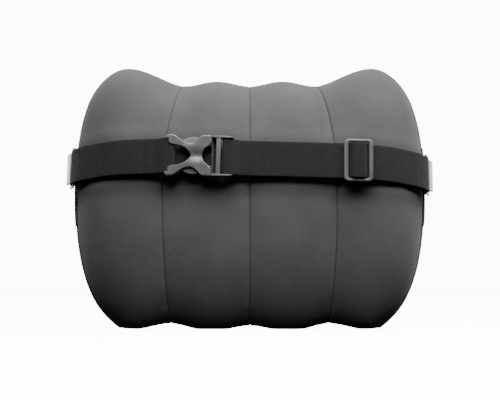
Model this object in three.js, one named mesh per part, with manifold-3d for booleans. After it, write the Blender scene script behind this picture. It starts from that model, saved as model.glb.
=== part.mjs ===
// Lumbar support cushion with an elastic back strap, a side-release buckle, a tri-glide slider
// and a hook and ring at each side. Millimetres, +Z up. The strap side faces -Y, the side that
// leans on a sitter's back faces +Y, and the cushion stands on its bottom lobes at z = 0.
import * as THREE from 'three';
import { mergeVertices } from 'three/addons/utils/BufferGeometryUtils.js';
import Module from 'manifold-3d';

const wasm = await Module();
wasm.setup();

// ---- cushion form ----
const HALF_WIDTH = 190.5; // to the side seam; the front panels bulge out past it
const MID_Z = 147;
const SEAM_Y = -12; // the back and front panels are sewn together a little behind the middle
const BACK_DEPTH = 54;
const FRONT_DEPTH = 57;
const FRONT_WING_DEPTH = 11; // how much fuller the front wings are than the front middle
const FRONT_WING_X = 122;
const FRONT_WING_WIDTH = 50;
const DEPTH_POWER_X = 6.5;
const BACK_POWER_Y = 1.2;
const FRONT_POWER_Y = 2.3;
const FRONT_BULGE = 5; // how far the front panels stand out past the seam all round
const BULGE_REACH = 15;
const SECTION_POWER_TOP = 2.2;
const SECTION_POWER_BOTTOM = 2.05;
const TOP_HEIGHT = 126.4;
const BOTTOM_HEIGHT = 154; // the lobes' lowest few millimetres are pressed flat at z = 0
// The outline is a flattened oval with ears, lobes and valleys added to it; u is |x|.
const TOP_OVAL = { inner: 9, outer: 2.84 };
const BOTTOM_OVAL = { inner: 6.3, outer: 2.13 };
const EAR = { u: 140, width: 38.5, height: 16.2 };
const LOBE = { u: 129.5, width: 15.5, height: 4 };
const VALLEY_WIDTH = 24; // how wide each dip between two lobes is
const TOP_VALLEYS = { u: 72, outer: 7.2, middle: 7.2 };
const BOTTOM_VALLEYS = { u: 84, outer: 8.5, middle: 6.5 };
const EDGE_FADE = 12; // ears and valleys fade out over this much before the side seam
const GROOVE_DEPTH = 0.045; // depth of a seam groove as a share of the body depth
const GROOVE_WIDTH = 15;
const PANEL_THICKNESS = 2; // knit cover with its bonded lining
const PANEL_GAP = 0.25; // half the gap kept between two panels
const CORE_GAP = 3; // gap kept between cover and foam
const SEAM_X = 92; // outer seams at mid height
const SEAM_PULL_TOP = 17; // how far the outer seams lean inward at the top
const SEAM_PULL_BOTTOM = 8;

const ORIGIN_SHIFT_X = -0.2;
const ORIGIN_SHIFT_Y = 13.05;

// ---- zip in a straight recess along the bottom ----
const ZIP_HALF_LENGTH = 112;
const ZIP_END_ROOM = 3;
const RECESS_FADE = 24; // how far the recess takes to close past the zip's end
const RECESS_HALF_WIDTH = 9;
const RECESS_Z = 14;
const RECESS_PINCH = 0.14; // share of the depth over which the recess edge turns up
const CORE_RECESS_Z = 18.6;
const TAPE_Z = RECESS_Z - 1.2; // underside of the tapes
const TAPE_THICKNESS = 0.8;
const CHAIN_GAP = 1; // half the gap between the two rows of zip teeth
const CHAIN_WIDTH = 1.8;
const CHAIN_PROUD = 0.8; // how far the teeth stand out of the tape on each face
const SLIDER_X = -100;

// ---- strap ----
const STRAP_WIDTH = 38;
const WEBBING = 1.4;
const LAYER_1 = 1.2; // webbing centre above the crest plane where it lies on the cover
const LAYER_2 = 2.9; // centre of a second layer on top of the first
const CREST_Y = -66.6;
const STRAP_Z = 180.6;
const STRAP_TILT = 7.5; // degrees, the strap's face looks slightly up
const ROLL_LEFT = 0.1; // degrees, each half runs slightly downhill to the right
const ROLL_RIGHT = 1.5;
const BUCKLE_PIVOT_X = -60;
const LEFT_PIVOT_X = -81.5;
const BEND_START_X = 111;
const BEND_RADIUS = 90;
const BEND_ANGLE = 60;

const material = (color, roughness, metalness = 0) =>
  new THREE.MeshStandardMaterial({ color, roughness, metalness });
const KNIT = () => material(0x4a4b4e, 0.95);
const FOAM = () => material(0xe6e2d3, 0.9);
const STRAP = () => material(0x222325, 0.9);
const PLASTIC = () => material(0x5a5c5e, 0.45);
const METAL = () => material(0x8c8e90, 0.35, 0.9);
const TAPE = () => material(0x2a2b2d, 0.9);

// The origin is under the middle of the bounding box, which the buckle pushes toward the back.
const model = new THREE.Group();
model.position.set(ORIGIN_SHIFT_X, ORIGIN_SHIFT_Y, 0);

// ---------- helpers ----------

function cleanSolid(geometry) {
  const bare = geometry.clone();
  bare.deleteAttribute('normal');
  bare.deleteAttribute('uv');
  const merged = mergeVertices(bare, 1e-4);
  const kept = [];
  const index = merged.index.array;
  for (let i = 0; i < index.length; i += 3) {
    const [a, b, c] = [index[i], index[i + 1], index[i + 2]];
    if (a !== b && b !== c && a !== c) kept.push(a, b, c);
  }
  merged.setIndex(kept);
  return merged;
}

function toManifold(geometry) {
  const g = cleanSolid(geometry);
  const vertProperties = new Float32Array(g.attributes.position.array);
  const triVerts = new Uint32Array(g.index.array);
  return new wasm.Manifold(new wasm.Mesh({ numProp: 3, vertProperties, triVerts }));
}

function fromManifold(manifold) {
  const mesh = manifold.getMesh();
  const g = new THREE.BufferGeometry();
  g.setAttribute('position', new THREE.BufferAttribute(mesh.vertProperties, 3));
  g.setIndex(Array.from(mesh.triVerts));
  return g;
}

function join(...geometries) {
  return fromManifold(geometries.map(toManifold).reduce((a, b) => a.add(b)));
}

function cut(base, ...tools) {
  return fromManifold(tools.map(toManifold).reduce((a, b) => a.subtract(b), toManifold(base)));
}

function box(x0, x1, y0, y1, z0, z1) {
  const g = new THREE.BoxGeometry(x1 - x0, y1 - y0, z1 - z0);
  return g.translate((x0 + x1) / 2, (y0 + y1) / 2, (z0 + z1) / 2);
}

// A round bar along Z.
function rod(x, y, radius, halfLength) {
  const g = new THREE.CylinderGeometry(radius, radius, 2 * halfLength, 12);
  return g.rotateX(Math.PI / 2).translate(x, y, 0);
}

function mirrorX(geometry) {
  const g = geometry.index ? geometry.toNonIndexed() : geometry.clone();
  const p = g.attributes.position;
  for (let i = 0; i < p.count; i++) p.setX(i, -p.getX(i));
  const v = [new THREE.Vector3(), new THREE.Vector3()];
  for (let i = 0; i < p.count; i += 3) {
    v[0].fromBufferAttribute(p, i + 1);
    v[1].fromBufferAttribute(p, i + 2);
    p.setXYZ(i + 1, v[1].x, v[1].y, v[1].z);
    p.setXYZ(i + 2, v[0].x, v[0].y, v[0].z);
  }
  g.deleteAttribute('normal');
  if (g.attributes.uv) g.deleteAttribute('uv');
  return g;
}

function addMesh(parent, name, geometry, mat) {
  const mesh = new THREE.Mesh(geometry, mat);
  mesh.name = name;
  parent.add(mesh);
}

// A polyline through corners [x, y, radius], each corner rounded by an arc.
function roundedPath(corners, arcSteps = 5) {
  const points = [];
  corners.forEach(([x, y, radius], i) => {
    const here = new THREE.Vector2(x, y);
    if (i === 0 || i === corners.length - 1 || !radius) {
      points.push(here);
      return;
    }
    const before = new THREE.Vector2(...corners[i - 1]).sub(here).normalize();
    const after = new THREE.Vector2(corners[i + 1][0], corners[i + 1][1]).sub(here).normalize();
    const half = Math.acos(THREE.MathUtils.clamp(before.dot(after), -1, 1)) / 2;
    const reach = radius / Math.tan(half);
    const middle = before.clone().add(after).normalize();
    const centre = here.clone().addScaledVector(middle, radius / Math.sin(half));
    const from = here.clone().addScaledVector(before, reach).sub(centre);
    const to = here.clone().addScaledVector(after, reach).sub(centre);
    const sweep = Math.atan2(from.cross(to), from.dot(to));
    for (let k = 0; k <= arcSteps; k++) {
      const turned = from.clone().rotateAround(new THREE.Vector2(), (sweep * k) / arcSteps);
      points.push(turned.add(centre));
    }
  });
  return points;
}

// A flat band: a path in the XY plane given a thickness, and a width along Z.
function band(points, thickness, width) {
  const left = [];
  const right = [];
  points.forEach((p, i) => {
    const back = points[Math.max(i - 1, 0)];
    const next = points[Math.min(i + 1, points.length - 1)];
    const inDir = p.clone().sub(back);
    const outDir = next.clone().sub(p);
    if (inDir.lengthSq() === 0) inDir.copy(outDir);
    if (outDir.lengthSq() === 0) outDir.copy(inDir);
    const along = inDir.normalize().clone().add(outDir.normalize()).normalize();
    const reach = thickness / 2 / Math.max(along.dot(inDir), 0.5);
    const normal = new THREE.Vector2(-along.y, along.x);
    left.push(p.clone().addScaledVector(normal, reach));
    right.push(p.clone().addScaledVector(normal, -reach));
  });
  const shape = new THREE.Shape([...left, ...right.reverse()]);
  const g = new THREE.ExtrudeGeometry(shape, { depth: width, bevelEnabled: false });
  return g.translate(0, 0, -width / 2);
}

// An outline in the XZ plane given a thickness from y0 to y1.
function plate(outline, y0, y1, holes = []) {
  const shape = new THREE.Shape(outline.map(([x, z]) => new THREE.Vector2(x, z)));
  shape.holes = holes.map((hole) => new THREE.Path(hole.map(([x, z]) => new THREE.Vector2(x, z))));
  const g = new THREE.ExtrudeGeometry(shape, { depth: y1 - y0, bevelEnabled: false });
  return g.rotateX(Math.PI / 2).translate(0, y1, 0);
}

function roundedRect(x0, x1, z0, z1, radius, steps = 4) {
  const corners = [[x1 - radius, z1 - radius, 0], [x0 + radius, z1 - radius, 90],
    [x0 + radius, z0 + radius, 180], [x1 - radius, z0 + radius, 270]];
  return corners.flatMap(([x, z, start]) => Array.from({ length: steps + 1 }, (_, k) => {
    const a = THREE.MathUtils.degToRad(start + (90 * k) / steps);
    return [x + radius * Math.cos(a), z + radius * Math.sin(a)];
  }));
}

// A smooth outline through a few [x, z] points.
function smooth(points, divisions, closed = false) {
  const curve = new THREE.CatmullRomCurve3(
    points.map(([x, z]) => new THREE.Vector3(x, z, 0)), closed, 'centripetal');
  const list = curve.getPoints(divisions).map((p) => [p.x, p.y]);
  if (closed) list.pop();
  return list;
}

// ---------- cushion form ----------

const bell = (x, centre, width) => Math.exp(-(((x - centre) / width) ** 2));
const smoothstep = (x, from, to) => THREE.MathUtils.smoothstep(x, from, to);

// A flattened oval's height at u, from 1 in the middle to 0 at the side seam.
function oval(u, { inner, outer }) {
  return Math.max(0, 1 - (u / HALF_WIDTH) ** inner) ** (1 / outer);
}

function bump(u, { u: centre, width, height }) {
  return height * bell(u, centre, width);
}

function valleys(u, { u: centre, outer, middle }) {
  return outer * bell(u, centre, VALLEY_WIDTH) + middle * bell(u, 0, VALLEY_WIDTH);
}

function edgeFade(x) {
  return Math.min(1, (HALF_WIDTH - Math.abs(x)) / EDGE_FADE);
}

function topOutline(x) {
  const u = Math.abs(x);
  const body = TOP_HEIGHT * oval(u, TOP_OVAL);
  return MID_Z + body + edgeFade(x) * (bump(u, EAR) - valleys(u, TOP_VALLEYS));
}

function bottomOutline(x) {
  const u = Math.abs(x);
  const body = BOTTOM_HEIGHT * oval(u, BOTTOM_OVAL);
  return MID_Z - body + edgeFade(x) * (valleys(u, BOTTOM_VALLEYS) - bump(u, LOBE));
}

function seamX(sinPhi) {
  const pull = sinPhi > 0 ? SEAM_PULL_TOP : SEAM_PULL_BOTTOM;
  return SEAM_X - pull * sinPhi * sinPhi;
}

function bodyDepth(x, side) {
  const power = side < 0 ? BACK_POWER_Y : FRONT_POWER_Y;
  const fade = oval(Math.abs(x), { inner: DEPTH_POWER_X, outer: power });
  if (side < 0) return BACK_DEPTH * fade;
  return (FRONT_DEPTH + FRONT_WING_DEPTH * bell(Math.abs(x), FRONT_WING_X, FRONT_WING_WIDTH)) * fade;
}

// How deep the seam grooves are at x, from 0 between seams to 1 on a seam.
function groove(x, sinPhi) {
  const outer = Math.abs(Math.abs(x) - seamX(sinPhi));
  const nearest = Math.min(outer, Math.abs(x));
  return Math.exp(-nearest / GROOVE_WIDTH);
}

function recessShare(x) {
  const end = ZIP_HALF_LENGTH + ZIP_END_ROOM;
  return 1 - smoothstep(Math.abs(x), end, end + RECESS_FADE);
}

// Moves a point of the front away from the cushion's middle, most at BULGE_REACH past the seam.
function bulgeOut(point, y, share) {
  const reach = y / BULGE_REACH;
  const outward = new THREE.Vector3(point.x, 0, point.z - MID_Z).normalize();
  point.addScaledVector(outward, share * FRONT_BULGE * reach * Math.exp(1 - reach));
}

// A point of the cushion's surface. phi runs from -90 at the bottom edge to 90 at the top edge,
// side is -1 at the back and 1 at the front, and inset moves the whole surface inward.
function surfacePoint(xShare, phi, side, inset, recessZ = RECESS_Z) {
  const x = xShare * HALF_WIDTH;
  const s = Math.sin(THREE.MathUtils.degToRad(phi));
  const c = Math.sqrt(Math.max(0, 1 - s * s));
  const power = s > 0 ? SECTION_POWER_TOP : SECTION_POWER_BOTTOM;
  const up = Math.sign(s) * Math.abs(s) ** (2 / power);
  const out = c ** (2 / power);
  const top = topOutline(x);
  const bottom = bottomOutline(x);
  const shrink = (size) => Math.max(0, 1 - inset / size);
  const height = ((top - bottom) / 2) * shrink((TOP_HEIGHT + BOTTOM_HEIGHT) / 2);
  const depth = bodyDepth(x, side) * shrink(BACK_DEPTH) * (1 - GROOVE_DEPTH * groove(x, s));
  const recess = recessShare(x) * (s < 0 ? 1 : 0);
  const edge = PANEL_GAP + recess * (RECESS_HALF_WIDTH + inset);
  const near = recess * Math.exp(-((out / RECESS_PINCH) ** 2));
  const lift = near * (recessZ - bottom);
  const y = side * (edge + Math.max(0, depth - edge) * out);
  const point = new THREE.Vector3(xShare * (HALF_WIDTH - inset), 0, (top + bottom) / 2 + height * up);
  if (side > 0) bulgeOut(point, y, 1 - recess);
  return new THREE.Vector3(point.x, SEAM_Y + y, Math.max(point.z + lift, inset));
}

const PHI_ROWS = [90, 80, 68, 54, 38, 20, 2, -16, -34, -50, -63, -70, -74, -77, -80, -84, -88, -90];

// The columns of one panel as functions of height, from its left edge to its right edge.
const COLUMN_SHARES = {
  wing: [0, 0.1, 0.22, 0.36, 0.5, 0.64, 0.77, 0.87, 0.94, 0.98, 1],
  middle: [0, 0.16, 0.34, 0.5, 0.66, 0.84, 1],
};

function panelColumns(panel, phi) {
  const s = Math.sin(THREE.MathUtils.degToRad(phi));
  const seam = seamX(s) / HALF_WIDTH;
  const gap = PANEL_GAP / HALF_WIDTH;
  if (panel === 'right_wing') return COLUMN_SHARES.wing.map((t) => seam + gap + (1 - seam - gap) * t);
  if (panel === 'right_middle') return COLUMN_SHARES.middle.map((t) => gap + (seam - 2 * gap) * t);
  const mirrored = panelColumns(panel.replace('left', 'right'), phi);
  return mirrored.map((x) => -x).reverse();
}

function gridGeometry(sheets) {
  const positions = [];
  for (const { rows, flip } of sheets) {
    for (let i = 0; i + 1 < rows.length; i++) {
      for (let j = 0; j + 1 < rows[i].length; j++) {
        const [a, b, c, d] = [rows[i][j], rows[i][j + 1], rows[i + 1][j + 1], rows[i + 1][j]];
        const order = flip ? [a, b, c, a, c, d] : [a, c, b, a, d, c];
        order.forEach((p) => positions.push(p.x, p.y, p.z));
      }
    }
  }
  const g = new THREE.BufferGeometry();
  g.setAttribute('position', new THREE.Float32BufferAttribute(positions, 3));
  return cleanSolid(g);
}

function panelShell(panel, side) {
  const sheet = (inset) => PHI_ROWS.map((phi) =>
    panelColumns(panel, phi).map((x) => surfacePoint(x, phi, side, inset)));
  const outer = sheet(0);
  const inner = sheet(PANEL_THICKNESS);
  const last = PHI_ROWS.length - 1;
  const column = (rows, j) => rows.map((row) => row[j]);
  const end = outer[0].length - 1;
  const outFlip = side > 0;
  return gridGeometry([
    { rows: outer, flip: outFlip },
    { rows: inner, flip: !outFlip },
    { rows: [inner[0], outer[0]], flip: outFlip },
    { rows: [outer[last], inner[last]], flip: outFlip },
    { rows: [column(outer, 0), column(inner, 0)], flip: outFlip },
    { rows: [column(inner, end), column(outer, end)], flip: outFlip },
  ]);
}

function foamCore() {
  const inset = PANEL_THICKNESS + CORE_GAP;
  const row = (phi, side) => {
    const columns = ['left_wing', 'left_middle', 'right_middle', 'right_wing']
      .flatMap((panel, i) => panelColumns(panel, phi).slice(i === 0 ? 0 : 1));
    return columns.map((x) => surfacePoint(x, phi, side, inset, CORE_RECESS_Z));
  };
  const back = PHI_ROWS.map((phi) => row(phi, -1));
  const front = [...PHI_ROWS].reverse().map((phi) => row(phi, 1));
  return gridGeometry([{ rows: [...back, ...front, back[0]], flip: false }]);
}

function addCushion() {
  addMesh(model, 'foam_core', foamCore(), FOAM());
  for (const panel of ['left_wing', 'left_middle', 'right_middle', 'right_wing']) {
    addMesh(model, `back_panel_${panel}`, panelShell(panel, -1), KNIT());
    addMesh(model, `front_panel_${panel}`, panelShell(panel, 1), KNIT());
  }
}

// ---------- zip ----------

function zipTape(side) {
  const outerY = RECESS_HALF_WIDTH - 0.5;
  const chainY = CHAIN_GAP + CHAIN_WIDTH;
  const [low, high] = [TAPE_Z, TAPE_Z + TAPE_THICKNESS];
  const section = [[CHAIN_GAP, low - CHAIN_PROUD], [chainY, low - CHAIN_PROUD], [chainY, low],
    [outerY, low], [outerY, high], [chainY, high], [chainY, high + CHAIN_PROUD], [CHAIN_GAP, high + CHAIN_PROUD]];
  const shape = new THREE.Shape(section.map(([y, z]) => new THREE.Vector2(y, z)));
  const g = new THREE.ExtrudeGeometry(shape, { depth: 2 * ZIP_HALF_LENGTH, bevelEnabled: false });
  g.rotateX(Math.PI / 2).rotateZ(Math.PI / 2).translate(-ZIP_HALF_LENGTH, 0, 0);
  return side > 0 ? g : g.rotateZ(Math.PI);
}

function zipStop(x) {
  return box(x - 1.5, x + 1.5, -3.4, 3.4, RECESS_Z - 3.6, RECESS_Z - 2.4);
}

function zipSlider() {
  const lower = box(-6, 6, -4.6, 4.6, RECESS_Z - 4.4, RECESS_Z - 3.2);
  const upper = box(-5, 5, -4.2, 4.2, RECESS_Z + 1, RECESS_Z + 2);
  const neck = box(-1.6, 1.6, -0.6, 0.6, RECESS_Z - 4, RECESS_Z + 1.6);
  const bridge = box(-3.4, 3.4, -1.1, 1.1, RECESS_Z - 8, RECESS_Z - 7);
  const posts = [-3.4, 2.4].map((x) => box(x, x + 1, -1.1, 1.1, RECESS_Z - 8, RECESS_Z - 3.6));
  return join(lower, upper, neck, bridge, ...posts).translate(SLIDER_X, 0, 0);
}

const PULL_PIVOT_Z = RECESS_Z - 5.7;

function zipPull() {
  const outline = roundedRect(-0.7, 22, -3.6, 3.6, 0.6, 3);
  const eye = roundedRect(0.7, 6, -2.2, 2.2, 0.4, 2).reverse();
  const flat = plate(outline, -0.6, 0.6, [eye]);
  return flat.rotateX(Math.PI / 2).translate(SLIDER_X, 0, PULL_PIVOT_Z);
}

function addZip() {
  const zip = new THREE.Group();
  zip.position.y = SEAM_Y;
  model.add(zip);
  addMesh(zip, 'zip_tape_back', zipTape(-1), TAPE());
  addMesh(zip, 'zip_tape_front', zipTape(1), TAPE());
  addMesh(zip, 'zip_stop_left', zipStop(-ZIP_HALF_LENGTH + 2), METAL());
  addMesh(zip, 'zip_stop_right', zipStop(ZIP_HALF_LENGTH - 2), METAL());
  addMesh(zip, 'zip_slider', zipSlider(), METAL());
  addMesh(zip, 'zip_pull', zipPull(), METAL());
}

// ---------- strap frames ----------

// The strap lies in its own frame: x along the strap, -y out of the cushion, z across the width.
function strapFrame(pivotX, pivotZ, roll) {
  const outer = new THREE.Group();
  outer.position.set(pivotX, CREST_Y, pivotZ);
  outer.rotation.set(THREE.MathUtils.degToRad(-STRAP_TILT), THREE.MathUtils.degToRad(roll), 0);
  const inner = new THREE.Group();
  inner.position.set(-pivotX, 0, 0);
  outer.add(inner);
  model.add(outer);
  return inner;
}

// The point at distance s past the end of the bend, at a height off the crest surface.
const END_DIR = new THREE.Vector2(Math.cos(THREE.MathUtils.degToRad(BEND_ANGLE)),
  Math.sin(THREE.MathUtils.degToRad(BEND_ANGLE)));
const END_OUT = new THREE.Vector2(END_DIR.y, -END_DIR.x);

function bendPoint(degrees, off) {
  const a = THREE.MathUtils.degToRad(degrees);
  const r = BEND_RADIUS + off;
  return new THREE.Vector2(BEND_START_X + r * Math.sin(a), BEND_RADIUS - r * Math.cos(a));
}

function endPoint(s, off) {
  return bendPoint(BEND_ANGLE, 0).addScaledVector(END_DIR, s).addScaledVector(END_OUT, off);
}

const HOOK_BAR_S = 3;
const HOOK_BAR_OFF = 3.4;
const LOOP_REACH = 2.2; // webbing centre line to the middle of a bar that it goes round
const FOLD_ANGLE = 45; // where the sewn end of the webbing stops on the bend

// The side end of a strap half: round the bend, round the hook's bar and back to the stitches.
function strapSideEnd() {
  const points = [];
  for (let a = 0; a <= BEND_ANGLE - 5; a += 5) {
    const lift = smoothstep(a, FOLD_ANGLE - 12, BEND_ANGLE);
    points.push(bendPoint(a, LAYER_1 + lift * (HOOK_BAR_OFF + LOOP_REACH - LAYER_1)));
  }
  points.push(endPoint(0, HOOK_BAR_OFF + LOOP_REACH));
  const middle = endPoint(HOOK_BAR_S, HOOK_BAR_OFF);
  for (let a = 0; a <= 180; a += 30) {
    const r = THREE.MathUtils.degToRad(a);
    points.push(middle.clone().addScaledVector(END_OUT, LOOP_REACH * Math.cos(r))
      .addScaledVector(END_DIR, LOOP_REACH * Math.sin(r)));
  }
  for (let a = BEND_ANGLE - 1; a >= FOLD_ANGLE; a -= 4) points.push(bendPoint(a, LAYER_1));
  return points;
}

const BAR_Y = -5.5; // middle of the buckle bars that the webbing goes round
const BAR_RADIUS = 1.4;
const BAR_LOOP = 2.65; // bar centre to the centre line of the webbing round it
const FEMALE_BAR_X = -81.5;
const MALE_BAR_X = -25.5;

// The loop of webbing round a buckle bar, from the inner layer to the outer one.
function barLoop(barX, toward) {
  const points = [];
  for (let a = 180; a >= 0; a -= 30) {
    const r = THREE.MathUtils.degToRad(a);
    points.push(new THREE.Vector2(barX + toward * BAR_LOOP * Math.sin(r), BAR_Y - BAR_LOOP * Math.cos(r)));
  }
  return points;
}

function leftStrap() {
  // mirrored: x runs from the buckle out to the left side
  const bar = -FEMALE_BAR_X;
  const inner = roundedPath([[108, -LAYER_1, 0], [90, -LAYER_1, 5], [bar + 2, BAR_Y + BAR_LOOP, 1.5]], 3);
  const loop = barLoop(bar, -1);
  const outer = roundedPath([[bar + 3, BAR_Y - BAR_LOOP, 0], [90, BAR_Y - 2, 4], [98, -LAYER_2, 8],
    [107, -LAYER_2, 4], [112, -LAYER_1, 4]], 3);
  inner.pop();
  const path = [...inner, ...loop, ...outer.slice(1, -1), ...strapSideEnd().slice(1)];
  return mirrorX(band(path, WEBBING, STRAP_WIDTH));
}

const GLIDE_X = 113.5;
const RETURN_Y = -7.1; // the webbing's end where it is sewn over the glide's centre bar
const HUMP_Y = -8.9; // the outer layer where it passes over the glide

function rightStrap() {
  const bar = MALE_BAR_X;
  const returnLayer = roundedPath([[GLIDE_X - 3, RETURN_Y, 0], [GLIDE_X + 4, RETURN_Y, 2],
    [GLIDE_X + 4, -LAYER_1, 2], [-16, -LAYER_1, 5], [bar + 2, BAR_Y + BAR_LOOP, 1.5]], 3);
  returnLayer.pop();
  const loop = barLoop(bar, -1);
  const outer = roundedPath([[bar + 3, BAR_Y - BAR_LOOP, 0], [-18, BAR_Y - 2, 4], [-9, -LAYER_2, 8],
    [GLIDE_X - 9, -LAYER_2, 3], [GLIDE_X - 6.4, HUMP_Y, 2.2], [GLIDE_X + 6.4, HUMP_Y, 2.2],
    [GLIDE_X + 8.5, -LAYER_1, 3], [GLIDE_X + 13, -LAYER_1 + 0.4, 3]], 3);
  const path = [...returnLayer, ...loop, ...outer.slice(1, -1), ...strapSideEnd().slice(2)];
  return band(path, WEBBING, STRAP_WIDTH);
}

// ---------- buckle ----------

const RAIL = 19.6; // inside of the rails that run beside the webbing
const BUCKLE_BACK = -0.8;
const BUCKLE_FRONT = -10.6;

function femaleBuckle() {
  const upper = smooth([[-86, 19], [-84.5, 21.6], [-79, 21.8], [-73, 17], [-66, 13.2], [-59, 13.4],
    [-54, 17.6], [-50, 21.6], [-45, 22], [-40.2, 22]], 26);
  const lower = upper.map(([x, z]) => [x, -z]).reverse();
  const body = plate([...upper, ...lower].reverse(), BUCKLE_FRONT, BUCKLE_BACK);
  const mouth = box(-51, -40, -8.4, -2.6, -15.6, 15.6);
  const socket = box(-75.7, -50.5, -8.4, -2.6, -19.4, 19.4);
  const window = box(-90, -77.1, -12, 1, -RAIL, RAIL);
  const leftHollow = plate(smooth([[-79, 12.5], [-73, 10.5], [-66, 6.2], [-61.5, 0], [-66, -6.2],
    [-73, -10.5], [-79, -12.5]], 18).reverse(), -12, -6);
  const rightHollow = plate(smooth([[-39, -14], [-43, -10.5], [-47.5, -6.4], [-49.8, 0], [-47.5, 6.4],
    [-43, 10.5], [-39, 14]], 18).reverse(), -12, -6);
  const bar = rod(FEMALE_BAR_X, BAR_Y, BAR_RADIUS, 20.4);
  return join(cut(body, mouth, socket, window, leftHollow, rightHollow), bar);
}

function maleBase() {
  const outline = [[-39.8, -21.6], [-24, -21.6], [-17.5, -20], [-17.5, 20], [-24, 21.6], [-39.8, 21.6]];
  const body = plate(outline, -10, -1.2);
  const window = box(-36.9, -10, -12, 1, -RAIL, RAIL);
  const frontBar = box(-35.6, -30.4, -9.6, -6.6, -20.2, 20.2);
  const loopBar = rod(MALE_BAR_X, BAR_Y, BAR_RADIUS, 20.4);
  return join(cut(body, window), frontBar, loopBar);
}

// The upper arm of the plug: a springy arm with a broad head that shows in the side opening.
function prong(sign) {
  const outer = smooth([[-40.4, 13.6], [-45, 14.2], [-51.4, 14.4]], 6);
  const head = smooth([[-52.2, 18.2], [-58, 19.2], [-65, 18.4], [-71.5, 14.6], [-72.6, 12.6],
    [-70, 11.8], [-62, 13], [-54, 12], [-46, 10.8], [-40.4, 10.4]], 24);
  const outline = [...outer, ...head].map(([x, z]) => [x, sign * z]);
  return plate(sign > 0 ? outline.reverse() : outline, -8, -3);
}

function triGlide() {
  const frame = plate(roundedRect(GLIDE_X - 15.5, GLIDE_X + 15.5, -23, 23, 5), -7.2, -4.2);
  const opening = plate(roundedRect(GLIDE_X - 10.6, GLIDE_X + 10.6, -RAIL, RAIL, 1.5), -8, -3);
  const bar = box(GLIDE_X - 2, GLIDE_X + 2, -6, -4.2, -20, 20);
  return join(cut(frame, opening), bar);
}

// ---------- hook, ring and side tab ----------

// A box in the hook's directions: s along the strap's end, off outward, z across.
function endBox(s0, s1, off0, off1, z0, z1) {
  const g = new THREE.BoxGeometry(s1 - s0, off1 - off0, z1 - z0);
  g.translate((s0 + s1) / 2, -(off0 + off1) / 2, (z0 + z1) / 2);
  g.rotateZ(THREE.MathUtils.degToRad(BEND_ANGLE));
  const start = bendPoint(BEND_ANGLE, 0);
  return g.translate(start.x, start.y, 0);
}

function hook() {
  const barAt = endPoint(HOOK_BAR_S, HOOK_BAR_OFF);
  const bar = rod(barAt.x, barAt.y, 1.2, 22);
  const arms = [-23, 19.8].map((z) => endBox(1.6, 11, 2.4, 4.4, z, z + 3.2));
  const cross = endBox(8, 11, 2.4, 4.4, -23, 23);
  const lip = endBox(6.4, 18.5, 4.2, 6.2, -17.5, 17.5);
  const fold = endBox(16.8, 18.5, -0.4, 6.2, -13.4, 13.4);
  return join(bar, ...arms, cross, lip, fold);
}

const RING_WIRE = 1.4;
const RING_BACK = endPoint(14.6, 1.8);
const RING_FRONT = new THREE.Vector2(199.4, 69.6);

function ring() {
  const along = RING_FRONT.clone().sub(RING_BACK);
  const sides = [-17.4, 17.4].map((z) => {
    const g = new THREE.CylinderGeometry(RING_WIRE, RING_WIRE, along.length(), 10);
    g.rotateZ(along.angle() - Math.PI / 2);
    const middle = RING_BACK.clone().addScaledVector(along, 0.5);
    return g.translate(middle.x, middle.y, z);
  });
  const bars = [RING_BACK, RING_FRONT].map(({ x, y }) => rod(x, y, RING_WIRE, 18.8));
  return join(...bars, ...sides);
}

function ringKeeper() {
  const { x, y } = RING_FRONT;
  const path = roundedPath([[x - 2.3, y + 15.6, 0], [x - 2.3, y - 2.2, 1.2], [x + 2.2, y - 2.2, 1.4],
    [x + 2.2, y + 2, 1.4], [x - 1, y + 6, 3], [x - 1, y + 15.6, 0]], 4);
  return band(path, 1, 28);
}

const PATCH_Z = [112, 200];
const PATCH_Y = [SEAM_Y + 1, 18];
const PATCH_OFF = 0.8; // from the cover to the middle of the patch
const PATCH_THICKNESS = 0.8;

// How far out the front panels reach at mid height, at a given y.
function sideX(y) {
  let [inside, outside] = [0.8, 1];
  for (let i = 0; i < 40; i++) {
    const middle = (inside + outside) / 2;
    if (surfacePoint(middle, 0, 1, 0).y > y) inside = middle;
    else outside = middle;
  }
  return surfacePoint(inside, 0, 1, 0).x;
}

// The sewn patch beside the side seam, bent round the side of the cushion.
function sidePatch() {
  const [low, high] = PATCH_Z;
  const steps = 12;
  const path = Array.from({ length: steps + 1 }, (_, i) => {
    const y = PATCH_Y[0] + ((PATCH_Y[1] - PATCH_Y[0]) * i) / steps;
    return new THREE.Vector2(sideX(y) + PATCH_OFF, y);
  });
  return band(path, PATCH_THICKNESS, high - low).translate(0, 0, (low + high) / 2);
}

function addSide(frame, name, mirrored) {
  const turn = (g) => (mirrored ? mirrorX(g) : g);
  addMesh(model, `side_patch_${name}`, turn(sidePatch()), TAPE());
  addMesh(frame, `ring_keeper_${name}`, turn(ringKeeper()), STRAP());
  addMesh(frame, `ring_${name}`, turn(ring()), METAL());
  addMesh(frame, `hook_${name}`, turn(hook()), METAL());
}

function addStrap() {
  const right = strapFrame(BUCKLE_PIVOT_X, STRAP_Z, ROLL_RIGHT);
  const drop = (BUCKLE_PIVOT_X - LEFT_PIVOT_X) * Math.sin(THREE.MathUtils.degToRad(ROLL_RIGHT));
  const left = strapFrame(LEFT_PIVOT_X, STRAP_Z + drop, ROLL_LEFT);
  addMesh(left, 'strap_left', leftStrap(), STRAP());
  addMesh(right, 'strap_right', rightStrap(), STRAP());
  addMesh(right, 'buckle_socket', femaleBuckle(), PLASTIC());
  addMesh(right, 'buckle_plug', maleBase(), PLASTIC());
  addMesh(right, 'buckle_prong_upper', prong(1), PLASTIC());
  addMesh(right, 'buckle_prong_lower', prong(-1), PLASTIC());
  addMesh(right, 'tri_glide', triGlide(), METAL());
  addSide(left, 'left', true);
  addSide(right, 'right', false);
}

addCushion();
addZip();
addStrap();

export default model;
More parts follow.
